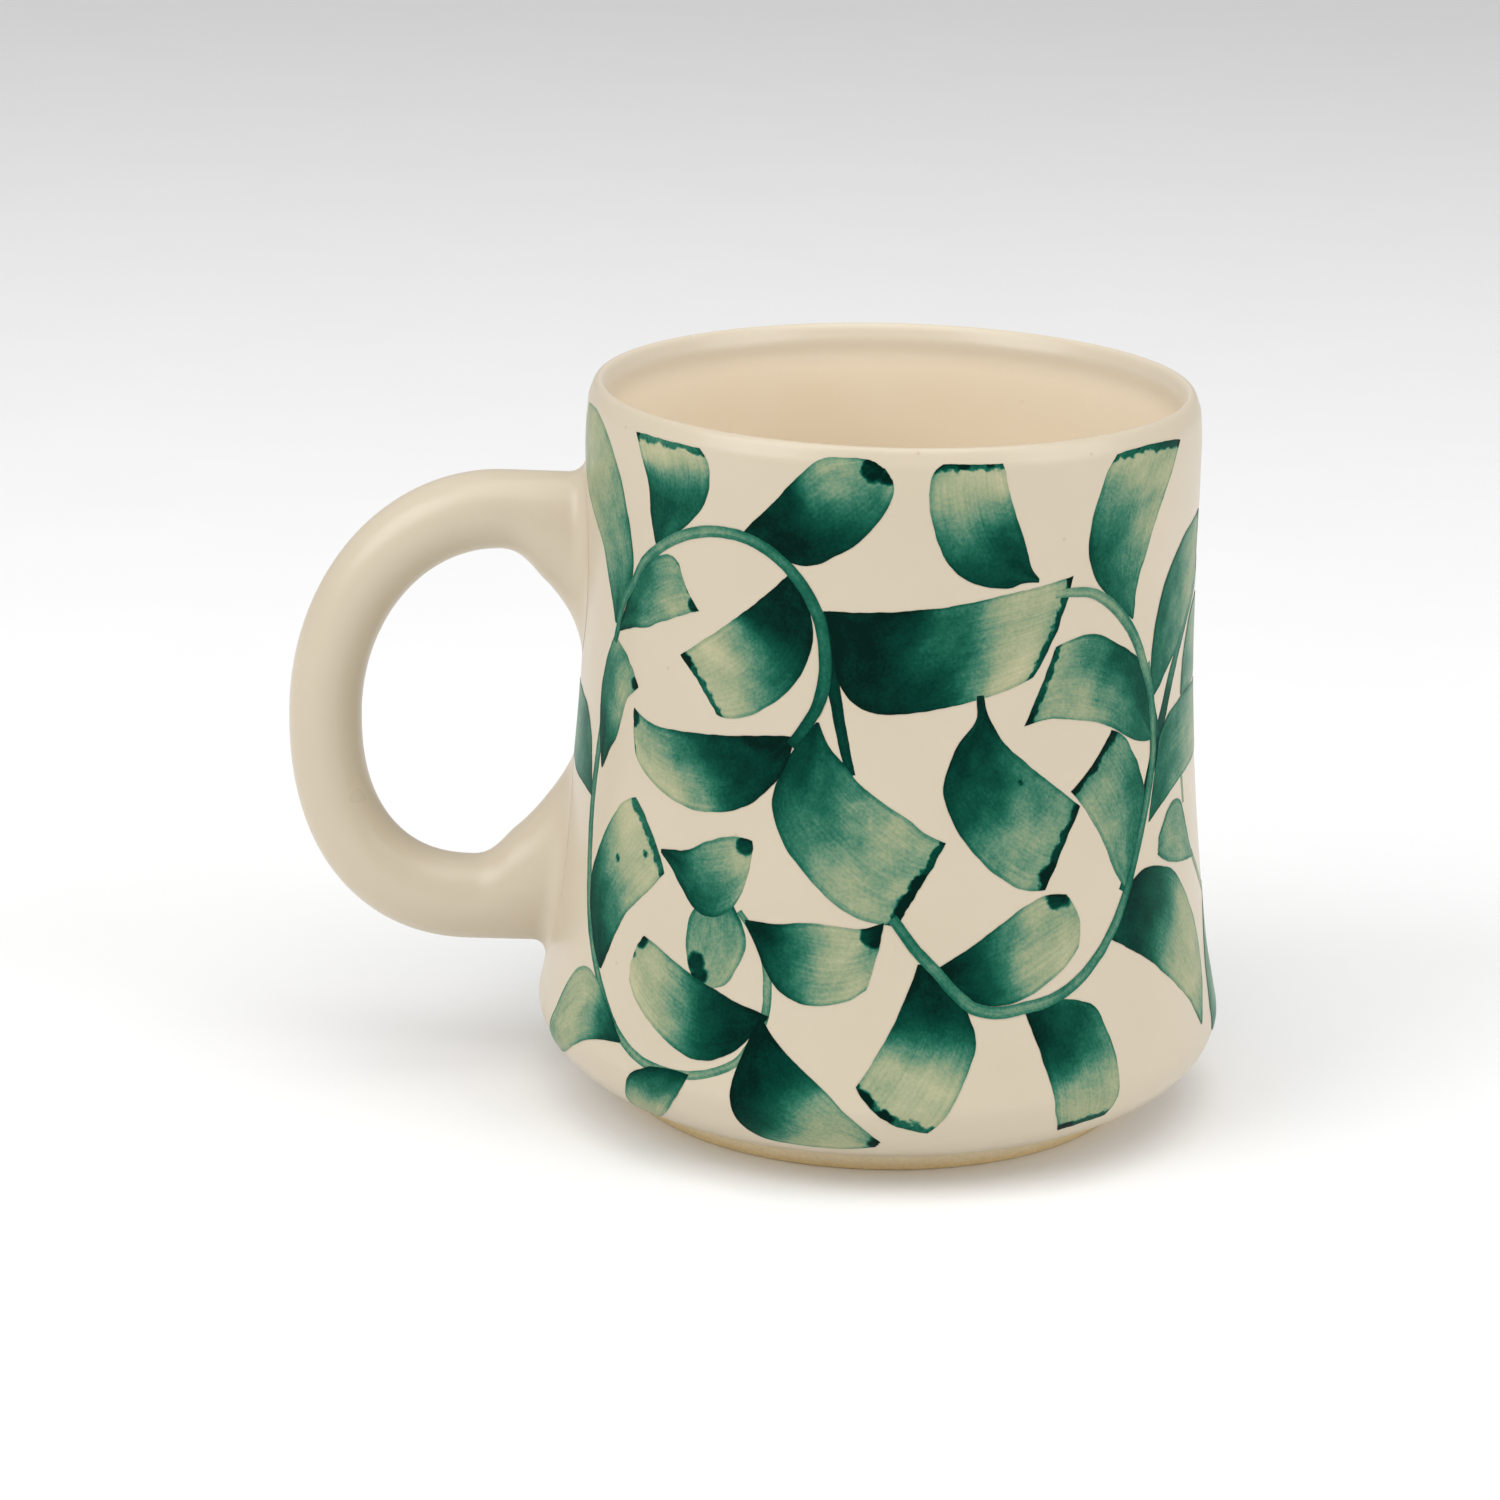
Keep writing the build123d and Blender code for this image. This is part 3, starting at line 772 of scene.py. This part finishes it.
# leaves are their two sides, and what each one wishes of the brush
leaves = {
    "drop": {
        "a": [(-32.5, 38.4, .6), (-34.4, 36, .52), (-34.9, 33, .5), (-34.3, 30, .45), (-32.6, 27.2, .5)],
        "b": [(-26, 38.4, .6), (-23.9, 36, .5), (-23.2, 33.5, .45), (-24.4, 30.6, .4), (-26.4, 27.8, .4),
              (-29, 26.9, .4)], "darkEnd": 0.0, "pools": [(-32.4, 30, 1.4), (-31.6, 28.4, 1.2)]},
    "lipLeafFarLeft": {
        "a": [(-59.5, 71.5, .65), (-58, 73.5, .65), (-55, 77, .6), (-54, 80, .6), (-54.5, 84, .54),
              (-57, 89, .48), (-60, 93, .43), (-65, 96.5, .38), (-72, 98.6, .33), (-82, 98.4, .3)],
        "b": [(-60.2, 71.7, .65), (-62, 75, .58), (-64, 78, .47), (-66, 81, .42), (-70, 83.5, .38),
              (-77, 87, .36), (-85, 92, .35)], "darkEnd": 0.0},
    "lipLeafLeft": {
        "a": [(-46.6, 83.8, .75), (-47.5, 85.5, .75), (-48.5, 88, .75), (-49, 91, .72), (-50, 93.5, .6),
              (-52, 96, .3), (-54.3, 99, .25)],
        "b": [(-46, 83.9, .75), (-45, 85, .7), (-42, 86.5, .65), (-38, 89, .65), (-35, 92, .62),
              (-34.3, 94.5, .52), (-35, 97.2, .35), (-37.5, 99, .2)],
        "ragged": 0.9, "pools": [(-53.5, 98.9, .6)]},
    "lipLeafMiddle": {
        "a": [(-27.4, 88.1, .95), (-26, 89.5, .95), (-22, 92.5, .95), (-19, 95, .85), (-16, 97.3, .5),
              (-13, 99.3, .35), (-9, 99.6, .4), (-4, 99.6, .6)],
        "b": [(-27, 87.6, .95), (-24, 87.3, 1), (-20, 86.3, .95), (-17, 85.3, .9), (-13, 85.5, .9),
              (-10, 86.7, .85), (-7, 88, .8), (-4, 90, .7), (-1, 93, .6), (.2, 95.5, .45), (0, 97.4, .45)],
        "endBow": 0.5, "pools": [(-3.4, 98.4, 1.7), (-.9, 97.4, 1)], "darkEnd": 0.7},
    "lipLeafRight": {
        "a": [(27.4, 83, .8), (24, 83, .8), (22, 82.6, .8), (17, 83, .8), (13.5, 84, .75), (10.5, 85.8, .7),
              (8.6, 88.3, .6), (7.4, 91, .52), (6.6, 94, .44), (6.5, 96, .42), (7.4, 98.3, .42),
              (9.5, 99.4, .5)],
        "b": [(27.4, 83.5, .75), (26, 84.7, .75), (25, 87, .75), (23, 91, .64), (21.5, 94, .42),
              (20.5, 97, .24), (19.8, 99.3, .3)], "ragged": 0.8, "pools": [(12.5, 99, .7), (17.5, 99.2, .6)]},
    "lipLeafFarRight": {
        "a": [(50, 75.7, .6), (46, 77.8, .65), (42, 80.5, .7), (40, 82.2, .7), (38, 85.5, .7), (38, 89, .68),
              (39.5, 93, .52), (42, 96.8, .36), (44.5, 98.9, .32)],
        "b": [(50.3, 75.9, .58), (51, 80.5, .5), (53, 84, .42), (56, 88.5, .36), (60, 93, .32),
              (63.6, 96.6, .36), (65.6, 98.3, .5)],
        "ragged": 0.9, "endBow": 0.8, "pools": [(65, 98, .9), (50, 99.2, .6)]},
    "budLeft": {
        "a": [(-58.7, 71, .75), (-56, 75, .75), (-54, 78, .7), (-50, 81.5, .6), (-46, 83.1, .5),
              (-43, 83.5, .45), (-40.6, 82.6, .5)],
        "b": [(-58.3, 70.8, .75), (-54, 72, .65), (-50, 72.7, .52), (-45, 74.3, .4), (-40, 76, .38),
              (-35.8, 77.1, .45)],
        "endBow": -0.6, "darkEnd": 0.35, "pools": [(-37.1, 77.8, 1.1), (-38.5, 79.6, .4)]},
    "insideLoop": {
        "a": [(-17.6, 84.2, 1), (-22, 81, .95), (-26, 78.4, .88), (-30, 76, .38), (-35, 73.2, .25),
              (-40.9, 70.2, .4)],
        "b": [(-16.8, 84.1, 1), (-15, 81, .95), (-13.7, 78, .95), (-13.4, 75, .9), (-14, 73, .85),
              (-15.5, 70.5, .75), (-18, 68, .65), (-22, 65.5, .5), (-26, 64, .38), (-30, 63.4, .35),
              (-32.5, 63.9, .35)],
        "endBow": -0.4, "ragged": 1.2, "pools": [(-39.2, 69.8, 1.2), (-36.4, 66.9, .7)]},
    "greatBand": {
        "a": [(-11.6, 79.4, 1), (-5, 79.5, 1), (0, 79.7, .95), (5, 80, .9), (10, 80.4, .6), (15, 81, .55),
              (20, 81.6, .4), (28, 82.5, .35), (35.2, 83.4, .45)],
        "b": [(-11.2, 79.1, 1), (-10, 76, 1), (-9.5, 73, 1), (-8.5, 70, 1), (-6, 67.5, .95), (-3, 66.3, .95),
              (0, 66, .9), (6, 66.4, .85), (12, 67.2, .7), (18, 68.2, .35), (23, 69.2, .3),
              (27.6, 70.5, .45)],
        "steps": 72, "endBow": 1.0, "ragged": 0.9, "width": 13, "pools": [(34.6, 82.6, 1)]},
    "bandPartner": {
        "a": [(57.6, 58.6, .65), (57, 61, .65), (55, 66, .7), (53, 69.5, .7), (50, 71.2, .7), (46, 72.9, .7),
              (42, 74.5, .6), (38, 75.1, .48), (35, 74.8, .42), (31.2, 74, .42)],
        "b": [(57, 58.2, .6), (54, 58.4, .6), (50, 59.5, .6), (46, 61.2, .52), (42, 62.6, .42),
              (36, 63.8, .38), (30, 64.4, .4), (25.2, 63.8, .48)],
        "ragged": 0.6, "pools": [(25.9, 64.5, 1), (30.6, 73.2, .6)]},
    "folded": {
        "a": [(48.3, 39, .55), (50.5, 43, .55), (53, 48, .6), (54.4, 51, .6), (53.4, 54, .6), (51, 57.4, .55),
              (48, 60.2, .5), (44.3, 61.5, .55)],
        "b": [(47.8, 39.2, .5), (46.5, 40.5, .5), (45, 42.5, .46), (43, 46, .42), (40, 49.7, .4),
              (37.5, 52.2, .45), (34.9, 54.4, .6)],
        "endBow": -0.5, "ragged": 0.9, "pools": [(35.6, 54.4, .9)]},
    "kite": {
        "a": [(16.1, 68.4, .9), (16.2, 65.2, .9), (13, 62, .88), (11.4, 59, .85), (10.5, 56.5, .85),
              (11, 54, .82), (12.5, 51.5, .75), (15, 48.5, .6), (18, 45.8, .5), (22, 43.3, .42),
              (25.5, 41.8, .4), (30.2, 41.4, .55)],
        "b": [(17.4, 68.5, .9), (18.6, 65.5, .85), (20, 63.5, .8), (22, 61.5, .72), (26, 58.8, .6),
              (30, 56.3, .52), (34, 54, .5), (37.6, 51.7, .55)],
        "ragged": 0.7, "pools": [(30.6, 43.4, 1.6), (24.8, 56.4, .35)], "width": 13},
    "centre": {
        "a": [(-12.3, 64.5, .85), (-15.5, 61.5, .85), (-18.5, 57, .8), (-19.8, 53.5, .75), (-19.3, 51, .7),
              (-17.5, 48, .58), (-14, 44.8, .5), (-10, 41.8, .46), (-6, 39.6, .43), (-2, 38.4, .42),
              (4, 37.7, .5)],
        "b": [(-11.8, 64.5, .85), (-10.4, 62, .72), (-7, 59, .6), (-4, 56.5, .52), (0, 54.3, .47),
              (5, 51.7, .43), (8.5, 49.8, .42), (11.8, 48.7, .5)],
        "ragged": 1.3, "pools": [(5.2, 40.4, 2), (7.4, 43.4, 1.4)], "width": 15},
    "resting": {
        "a": [(-15.8, 62.2, 1), (-20, 62.1, .95), (-28, 61.2, .88), (-36, 60.5, .75), (-45, 60, .52),
              (-49, 60.3, .45), (-52.7, 61.4, .5)],
        "b": [(-16.2, 61.6, 1), (-18, 57.5, .95), (-20, 55.3, .88), (-24, 52.5, .8), (-28, 51, .65),
              (-33, 50.3, .42), (-38, 50.4, .34), (-42, 51.2, .3), (-46, 52.3, .25), (-49, 53.6, .25),
              (-51.4, 55.3, .3)], "endBow": 0.5, "pools": [(-52.3, 59.8, 1.3)], "darkEnd": 0.7},
    "shoulder": {
        "a": [(-62.8, 51, .85), (-64, 53.5, .8), (-65, 57, .75), (-65.4, 61, .65), (-64, 65, .6),
              (-62, 68, .55), (-60, 70.2, .5)],
        "b": [(-62.4, 51, .8), (-60, 54, .7), (-58, 56, .55), (-56.5, 59, .4), (-55, 62, .35),
              (-52.9, 63.3, .4), (-51.1, 64.3, .5)],
        "endBow": 0.9, "darkEnd": 0.35, "pools": [(-52.2, 64.5, 1.1)]},
    "farLeft": {
        "a": [(-66, 46.6, .7), (-67, 49, .65), (-69.5, 54.5, .6), (-73, 57.3, .6), (-77, 58.2, .5),
              (-83, 58.5, .45), (-90, 58, .4)],
        "b": [(-65.9, 46.2, .7), (-70, 46.7, .65), (-76, 47, .6), (-83, 47.8, .5), (-90, 49, .4)],
        "darkEnd": 0.0},
    "sail": {
        "a": [(-55.8, 24.4, .85), (-58, 26.5, .85), (-60, 29.5, .8), (-61.6, 32.5, .8), (-62.2, 36, .75),
              (-61, 39.4, .65), (-59, 42.6, .5), (-56, 46, .35), (-53, 48.4, .25), (-49.6, 49.4, .3)],
        "b": [(-55.3, 24.4, .85), (-53.5, 27.5, .75), (-52, 30.2, .6), (-50, 33, .45), (-47, 35.6, .35),
              (-44, 38, .3), (-40.9, 40.8, .35)],
        "endBow": 0.7, "ragged": 0.5, "pools": [(-53.6, 40.2, .6), (-46, 42.5, .45)]},
    "cup": {
        "a": [(-42.2, 43.8, .9), (-36, 44.7, .65), (-32, 46.4, .46), (-28, 47.5, .4), (-25, 47.8, .35),
              (-22.7, 47.5, .4)],
        "b": [(-42.2, 43.3, .9), (-40, 42, .82), (-37, 39.6, .74), (-34, 37.2, .7), (-31, 36.4, .68),
              (-28, 37, .6), (-26, 38.5, .5), (-24.4, 40.8, .4)],
        "darkEnd": 0.1, "endBow": 0.5, "pools": [(-24.5, 46.7, 1.3)]},
    "boat": {
        "a": [(-18.2, 24.6, 1), (-24, 25.7, .9), (-30, 27.3, .75), (-36, 28.9, .5), (-42, 30.8, .35),
              (-45, 31.4, .5)],
        "b": [(-18.4, 24.2, .95), (-20.5, 22, .95), (-23, 19.8, .9), (-26, 18.1, .85), (-30, 17.1, .7),
              (-34, 17.7, .5), (-38, 19, .4), (-42, 20.8, .3), (-45.3, 22.8, .25), (-47.5, 25.4, .25)],
        "endBow": 0.9, "ragged": 1.2, "darkEnd": 0.35, "pools": [(-44.8, 30.8, 1.1), (-46.9, 28.8, .7)]},
    "pouch": {
        "a": [(-23.6, 37, .9), (-18, 37, .8), (-13, 37.6, .5), (-8, 37.6, .33), (-3, 37.4, .36),
              (1.2, 38.4, .6)],
        "b": [(-23.4, 36.4, .9), (-21.5, 34, .9), (-19.5, 31, .85), (-17, 28.4, .78), (-14, 27, .62),
              (-11, 26.6, .46), (-8, 27, .38), (-5, 27.7, .36), (-1.6, 29.4, .42)],
        "darkEnd": 0.4, "endBow": 0.3, "pools": [(-.8, 36.8, 1.9)]},
    "wing": {
        "a": [(-19.8, 24.2, 1), (-22, 19.5, 1), (-23.5, 15, 1), (-23.3, 11.5, .95), (-22, 9.2, .85),
              (-20, 7.7, .7), (-18, 7, .55), (-14, 6.6, .4), (-8, 6.5, .32), (-3, 6.8, .35), (1, 7.6, .7)],
        "b": [(-19.3, 24.2, 1), (-16.5, 21.3, .95), (-12, 18.2, .75), (-8, 15.5, .48), (-4, 12.5, .4),
              (0, 9.3, .45), (1.4, 8.3, .7)], "pools": [(.5, 8.2, 1.1)], "darkEnd": 0.2},
    "hanging": {
        "a": [(6.6, 32.8, .95), (5, 29, .95), (3, 25, .75), (0, 20.4, .38), (-3.3, 16.1, .36)],
        "b": [(10, 32.8, .95), (12, 30.3, .95), (14, 28, .9), (15.7, 25, .8), (16.6, 22.3, .65),
              (15.5, 19, .46), (13.5, 15.5, .34), (11, 12, .28), (8.3, 9.7, .35)],
        "endBow": 1.6, "ragged": 0.8, "pools": [(-2.2, 14.6, 1.5), (1.2, 12.2, 1.4)], "darkEnd": 0.9},
    "curtain": {
        "a": [(25, 26.2, .95), (27, 22, .95), (28.5, 18, .8), (29.8, 14.5, .48), (30.6, 11, .38),
              (32.6, 7.7, .5)],
        "b": [(36, 25.8, .62), (39.4, 24.4, .6), (41.5, 21, .54), (43, 17.5, .46), (43.3, 14, .36),
              (43, 10.7, .32), (41.6, 8.5, .4)], "startBow": 0.8, "ragged": 0.8, "pools": [(33.6, 8.4, .8)]},
    "floating": {
        "a": [(10, 32.2, .95), (14, 34, .85), (18, 36, .7), (22, 38, .5), (26, 39.7, .4), (30, 40.7, .42),
              (34.4, 40.3, .5)],
        "b": [(10.2, 31.6, .95), (12, 30, .95), (15, 28, .85), (18, 26.9, .75), (22, 26.7, .6),
              (26, 27.4, .45), (30, 29, .35), (34, 31, .3), (36.6, 33.3, .35)],
        "endBow": 1.2, "darkEnd": 0.2, "pools": [(31.8, 40.2, 1.4), (33.7, 39.6, .8)]},
    "swoop": {
        "a": [(46, 36.8, .85), (49, 39.5, .88), (52, 40.6, .88), (55, 40.9, .82), (60, 40, .68),
              (64, 38.5, .5), (68, 35.5, .38), (71.5, 32, .34), (74.5, 28, .34), (76, 23.5, .35),
              (75.5, 21, .4), (73, 17.5, .45), (71, 14.9, .55)],
        "b": [(43.5, 33, .8), (48, 31, .8), (54, 28, .7), (59, 25, .42), (63, 22.5, .35), (67, 19.5, .35),
              (69.5, 16.7, .45), (70.8, 14.9, .55)], "steps": 64, "darkEnd": 0.0, "width": 13},
    "smallRight": {
        "a": [(75.6, 38.2, .45), (74.3, 39.4, .45), (72.5, 42, .45), (70.5, 45.6, .5), (69, 47.4, .48),
              (66, 48.1, .48), (63.5, 47.6, .48), (61, 46, .5), (58.6, 43.9, .55)],
        "b": [(75.4, 38, .45), (72, 38.4, .5), (67, 39.2, .45), (62, 40.3, .45), (58, 42, .55)],
        "darkEnd": 0.5},
    "rightUpper": {
        "a": [(57, 64, .6), (56.5, 68, .65), (57, 72, .65), (58.5, 76, .65), (61, 79.5, .6), (65, 82.5, .55),
              (69, 84.3, .5), (74, 85.3, .45), (82, 86, .4)],
        "b": [(57.3, 63.8, .6), (59.5, 64.9, .6), (63, 67, .55), (67, 68.9, .5), (70, 71, .45), (75, 74, .4),
              (82, 78, .35)], "ragged": 0.8},
    "rightMiddle": {
        "a": [(60, 58, .6), (63, 60, .6), (68, 61.3, .55), (74, 61.8, .5), (82, 61.5, .45), (91, 60.6, .35)],
        "b": [(55.5, 47, .65), (60, 48.5, .6), (65, 49.8, .5), (70, 50.6, .45), (78, 51.2, .4),
              (90, 52, .35)]},
    "rightFold": {
        "a": [(70.4, 61.9, .55), (71, 65, .55), (73, 69, .5), (77, 72.4, .45), (85, 74, .4)],
        "b": [(70.7, 61.8, .55), (76, 62, .5), (84, 62.6, .45), (92, 65, .4)]},
    "rightLow": {
        "a": [(77.4, 12.8, .6), (78.6, 17.5, .55), (81, 23, .5), (85, 28, .45), (91, 31, .35)],
        "b": [(77.7, 12.4, .6), (83, 11, .5), (90, 11.6, .45), (97, 15, .4)]},
    "lowLeft": {
        "a": [(-46.8, 16.4, .8), (-50, 19, .7), (-53, 21, .55), (-56, 22.7, .4), (-59.5, 23.5, .35),
              (-62, 23, .35), (-65, 21, .4), (-67.5, 17.6, .45), (-70, 13.5, .5), (-73, 9.6, .5)],
        "b": [(-46.8, 16.1, .8), (-52, 15.3, .7), (-56, 14.2, .5), (-60, 12.3, .35), (-64, 10.3, .35),
              (-69, 8.6, .4), (-74, 7.6, .45)], "darkEnd": 0.3},
    "lipLeafBack": {
        "a": [(139, 80, .85), (137.5, 84, .8), (138, 89, .7), (140, 94, .5), (143, 98.5, .35),
              (145, 100.7, .4)],
        "b": [(139.6, 80, .85), (145, 82, .75), (150, 86, .6), (154, 91, .4), (156.5, 96, .3),
              (157.5, 100.7, .5)], "ragged": 0.5, "pools": [(154.5, 100.4, 1.2)]},
    "toe": {
        "a": [(-39.5, 14.5, .85), (-43.2, 12.8, .75), (-45.6, 9.8, .5), (-47.6, 7.2, .35), (-49, 5.2, .4)],
        "b": [(-31.4, 14.9, .85), (-32.5, 13, .6), (-34.5, 10.5, .45), (-38, 7.6, .35), (-42, 5.6, .3),
              (-46, 4.3, .35)], "startBow": 0.4, "ragged": 0.5, "darkEnd": 0.2},
}

# round the back and beside the handle, in the same hand: leaves grow out from both sides of the vines,
# and more fill the gaps, wherever a leaf has room
back = {
    "reach": (94, 255), "heights": (6.5, 98.5),   # degrees and mm that the leaves stay within
    "nearFrom": 55,                # degrees from which the front leaves are in their way
    "length": (18, 28), "width": (9.5, 13.5), "clear": -0.3,            # mm
    "bend": 0.6, "bendShare": (0.7, 1.3), "fullerSide": 1.25,   # radians, and how full a bent leaf is
    "apart": 8.0, "leans": (50, 75, 30), "leanStray": 10,   # mm along a vine between leaves, degrees off it
    "cut": [0.06, 0.62, 0.95, 1.0, 0.92, 0.8], "tip": [0.08, 0.6, 1.0, 0.95, 0.55, 0.04],   # of the width
    "load": [0.92, 0.85, 0.65, 0.42, 0.32, 0.38], "toneStray": 0.08, "palest": 0.2,
    "cutShare": 0.72, "darkEnd": 0.9, "ragged": 0.9, "pool": (0.8, 1.5), "endBow": (-0.6, 0.8),   # mm
    "fillTries": 5000, "seed": 21,
}

backVines = {
    "backUpperLoop": {"line": [(86, 77), (94, 79), (103, 77.5), (111, 73), (117, 67), (122, 62), (129, 61),
        (137, 64), (144, 70), (151, 77), (160, 82), (170, 82.5), (179, 78), (184, 71), (185, 63), (181, 56),
        (174, 53), (167, 56)],
        "widths": [2, 1.8, 1.7, 2, 1.8, 1.7, 1.4], "load": [.5, .55, .5, .6, .55, .5, .6]},
    "backLowerLoop": {"line": [(93, 29), (101, 31), (109, 36), (115, 41), (123, 43.5), (131, 41), (137, 35),
        (142, 28), (149, 22.5), (158, 20.5), (168, 22.5), (176, 28), (181, 34), (189, 40), (199, 43.5),
        (208, 42), (215, 36), (218, 29), (215, 22), (207, 18)],
        "widths": [1.2, 1.6, 1.8, 1.7, 1.9, 1.8, 1.6, 1.3], "load": [.4, .5, .55, .5, .6, .55, .5, .55]},
    "backSideLoop": {"line": [(203, 86), (212, 88), (221, 85), (228, 78), (231, 69), (229, 61), (222, 57),
        (215, 59), (211, 65)],
        "widths": [1.3, 1.8, 2, 1.8, 1.5], "load": [.5, .6, .55, .6, .65]},
    "backHandleVine": {"line": [(229, 61), (237, 55), (243, 47), (247, 38), (247, 29), (243, 21), (236, 16)],
        "widths": [1.6, 1.8, 1.6, 1.2], "load": [.6, .5, .55, .5]},
}


def leafRails(place, angle, length, width, bend, shape, dice):
    # a leaf drawn by one bent pull of the brush; a cut leaf ends wide, a tipped one ends in a point
    angle -= bend / 2
    fullness, stray = back[shape], back["toneStray"]
    rails = [], []
    for part, load in zip(fullness, back["load"]):
        out = Vector((-math.sin(angle), math.cos(angle)))
        for rail, sign in zip(rails, (-1, 1)):
            fuller = back["fullerSide"] if sign * bend < 0 else 2 - back["fullerSide"]
            spot = place + out * sign * fuller * part * width / 2
            tone = max(load + stray * sign + dice.uniform(-stray, stray), back["palest"])
            rail.append((math.degrees(spot.x / stroke["around"]), spot.y, min(tone, 1)))
        place = place + Vector((math.cos(angle), math.sin(angle))) * length / (len(fullness) - 1)
        angle += bend / (len(fullness) - 1)
    return rails


def leafSpots(railA, railB):
    # middles and half widths along a leaf, in mm
    steps = [i / 6 for i in range(7)]
    a, b = [[flat(*rail[round(t * (len(rail) - 1))][:2]) for t in steps] for rail in (railA, railB)]
    return [((p + q) / 2, (p - q).length / 2) for p, q in zip(a, b)]


def growBackLeaves(dice):
    # tries leaves along the vines, then anywhere, and keeps those that touch no other leaf
    grown = []
    near = [leaf for leaf in leaves.values() if leaf["a"][0][0] > back["nearFrom"]]
    taken = [spot for leaf in near for spot in leafSpots(leaf["a"], leaf["b"])]
    (left, right), (bottom, top), stray = back["reach"], back["heights"], back["leanStray"]

    def tryLeaf(place, angle):
        shape = "cut" if dice.random() < back["cutShare"] else "tip"
        bend = back["bend"] * dice.choice((-1, 1)) * dice.uniform(*back["bendShare"])
        length, width = dice.uniform(*back["length"]), dice.uniform(*back["width"])
        rails = leafRails(place, angle, length, width, bend, shape, dice)
        if any(not (left < x < right and bottom < z < top) for x, z, _ in rails[0] + rails[1]):
            return
        spots = leafSpots(*rails)
        if all((spot - other).length >= half + otherHalf + back["clear"]
               for spot, half in spots for other, otherHalf in taken):
            taken.extend(spots)
            grown.append((rails, shape))

    for vine in backVines.values():
        line = smoothLine([flat(*p) for p in vine["line"]], 6)
        walked, side = 0.0, 1
        for a, b in zip(line, line[1:]):
            walked += (b - a).length
            if walked > back["apart"]:
                walked, side = 0.0, -side
                run = math.atan2(b.y - a.y, b.x - a.x)
                for lean in back["leans"]:
                    tryLeaf(a, run + side * math.radians(lean + dice.uniform(-stray, stray)))
    low, high = flat(left, bottom), flat(right, top)
    for _ in range(back["fillTries"]):
        tryLeaf(Vector((dice.uniform(low.x, high.x), dice.uniform(low.y, high.y))), dice.uniform(0, math.tau))
    return grown


def paintVines(names, wall, green):
    for name in names:
        vine = {**vines, **backVines}[name]
        layStroke("vine_" + name, wall, green, *vineRails(vine["line"], vine["widths"], vine["load"]),
                  steps=vineBrush["stepsPerPoint"] * len(vine["line"]), **vineBrush["stroke"])
    print("vines painted:", *names)


def paintMug(wall, green):
    paintVines([name for name in [*vines, *backVines] if name not in overLeaves], wall, green)
    for name, leaf in leaves.items():
        layStroke("leaf_" + name, wall, green, **leaf)
    print("front leaves painted:", len(leaves))
    paintVines(overLeaves, wall, green)
    dice = random.Random(back["seed"])
    grown = growBackLeaves(dice)
    for i, (rails, shape) in enumerate(grown):
        degrees, height, _ = rails[dice.randrange(2)][-1]
        layStroke(f"leaf_back{i + 1:02d}", wall, green, *rails, ragged=back["ragged"],
                  pools=[(degrees, height, dice.uniform(*back["pool"]))],
                  darkEnd=back["darkEnd"] if shape == "cut" else 0.0, endBow=dice.uniform(*back["endBow"]))
    print("back leaves painted:", len(grown))


view = {
    "target": (-18.70, 0, 48.03), "distance": 621.4,              # mm
    "elevation": 16.838, "turn": 1.6815, "roll": 1.168,           # degrees
    "lens": 106.8, "sensor": 36,                                  # mm
}


def makeCamera():
    data = bpy.data.cameras.new("camera")
    data.lens = view["lens"]
    data.sensor_width = view["sensor"]
    data.clip_start = 0.01
    camera = linkObject("camera", data)
    up, across = math.radians(view["elevation"]), math.radians(view["turn"])
    away = Vector((math.sin(across) * math.cos(up), -math.cos(across) * math.cos(up), math.sin(up)))
    camera.location = (Vector(view["target"]) + away * view["distance"]) * mm
    camera.rotation_euler = (-away).to_track_quat("-Z", "Y").to_euler()
    camera.rotation_euler.rotate_axis("Z", math.radians(view["roll"]))
    bpy.context.scene.camera = camera


lights = {
    # place and size in m, power in W
    "key": {"place": (-0.85, -0.55, 0.8), "size": 0.95, "power": 6.1},
    "fill": {"place": (0.95, -0.4, 0.6), "size": 0.9, "power": 4.0},
    "top": {"place": (0.05, -0.25, 1.15), "size": 1.3, "power": 7.0},
}
room = {"brightness": 0.5, "floorRadius": 6.0}


def makeLights():
    middle = Vector((0, 0, lipTop / 2))
    for name, light in lights.items():
        data = bpy.data.lights.new(name, "AREA")
        data.shape = "DISK"
        data.size = light["size"]
        data.energy = light["power"]
        lamp = linkObject(name, data)
        lamp.location = light["place"]
        lamp.rotation_euler = (middle - Vector(light["place"])).to_track_quat("-Z", "Y").to_euler()
    world = bpy.data.worlds.new("studio")
    world.use_nodes = True
    background = world.node_tree.nodes["Background"]
    fillInputs(background, {"Color": linear("#FFFFFF"), "Strength": room["brightness"]})
    bpy.context.scene.world = world
    bpy.context.scene.view_settings.view_transform = "Standard"


def makeFloor(paper):
    mesh = bpy.data.meshes.new("floor")
    shape = bmesh.new()
    bmesh.ops.create_circle(shape, cap_ends=True, radius=room["floorRadius"], segments=96)
    shape.to_mesh(mesh)
    shape.free()
    mesh.materials.append(paper)
    linkObject("floor", mesh)


cream, bounceWarmed = makeCreamGlaze(), makeInsideGlazeWithPaintedBounce(lipTop)
clay, green = makeBareStoneware(cup["footHeight"] * mm), makeGreenUnderglaze()
print("materials mixed")
makeCamera()
makeLights()
makeFloor(makeFloorPaper())
wall = makeCup(cream, bounceWarmed, clay)
makeHandle(cream)
paintMug(wall, green)
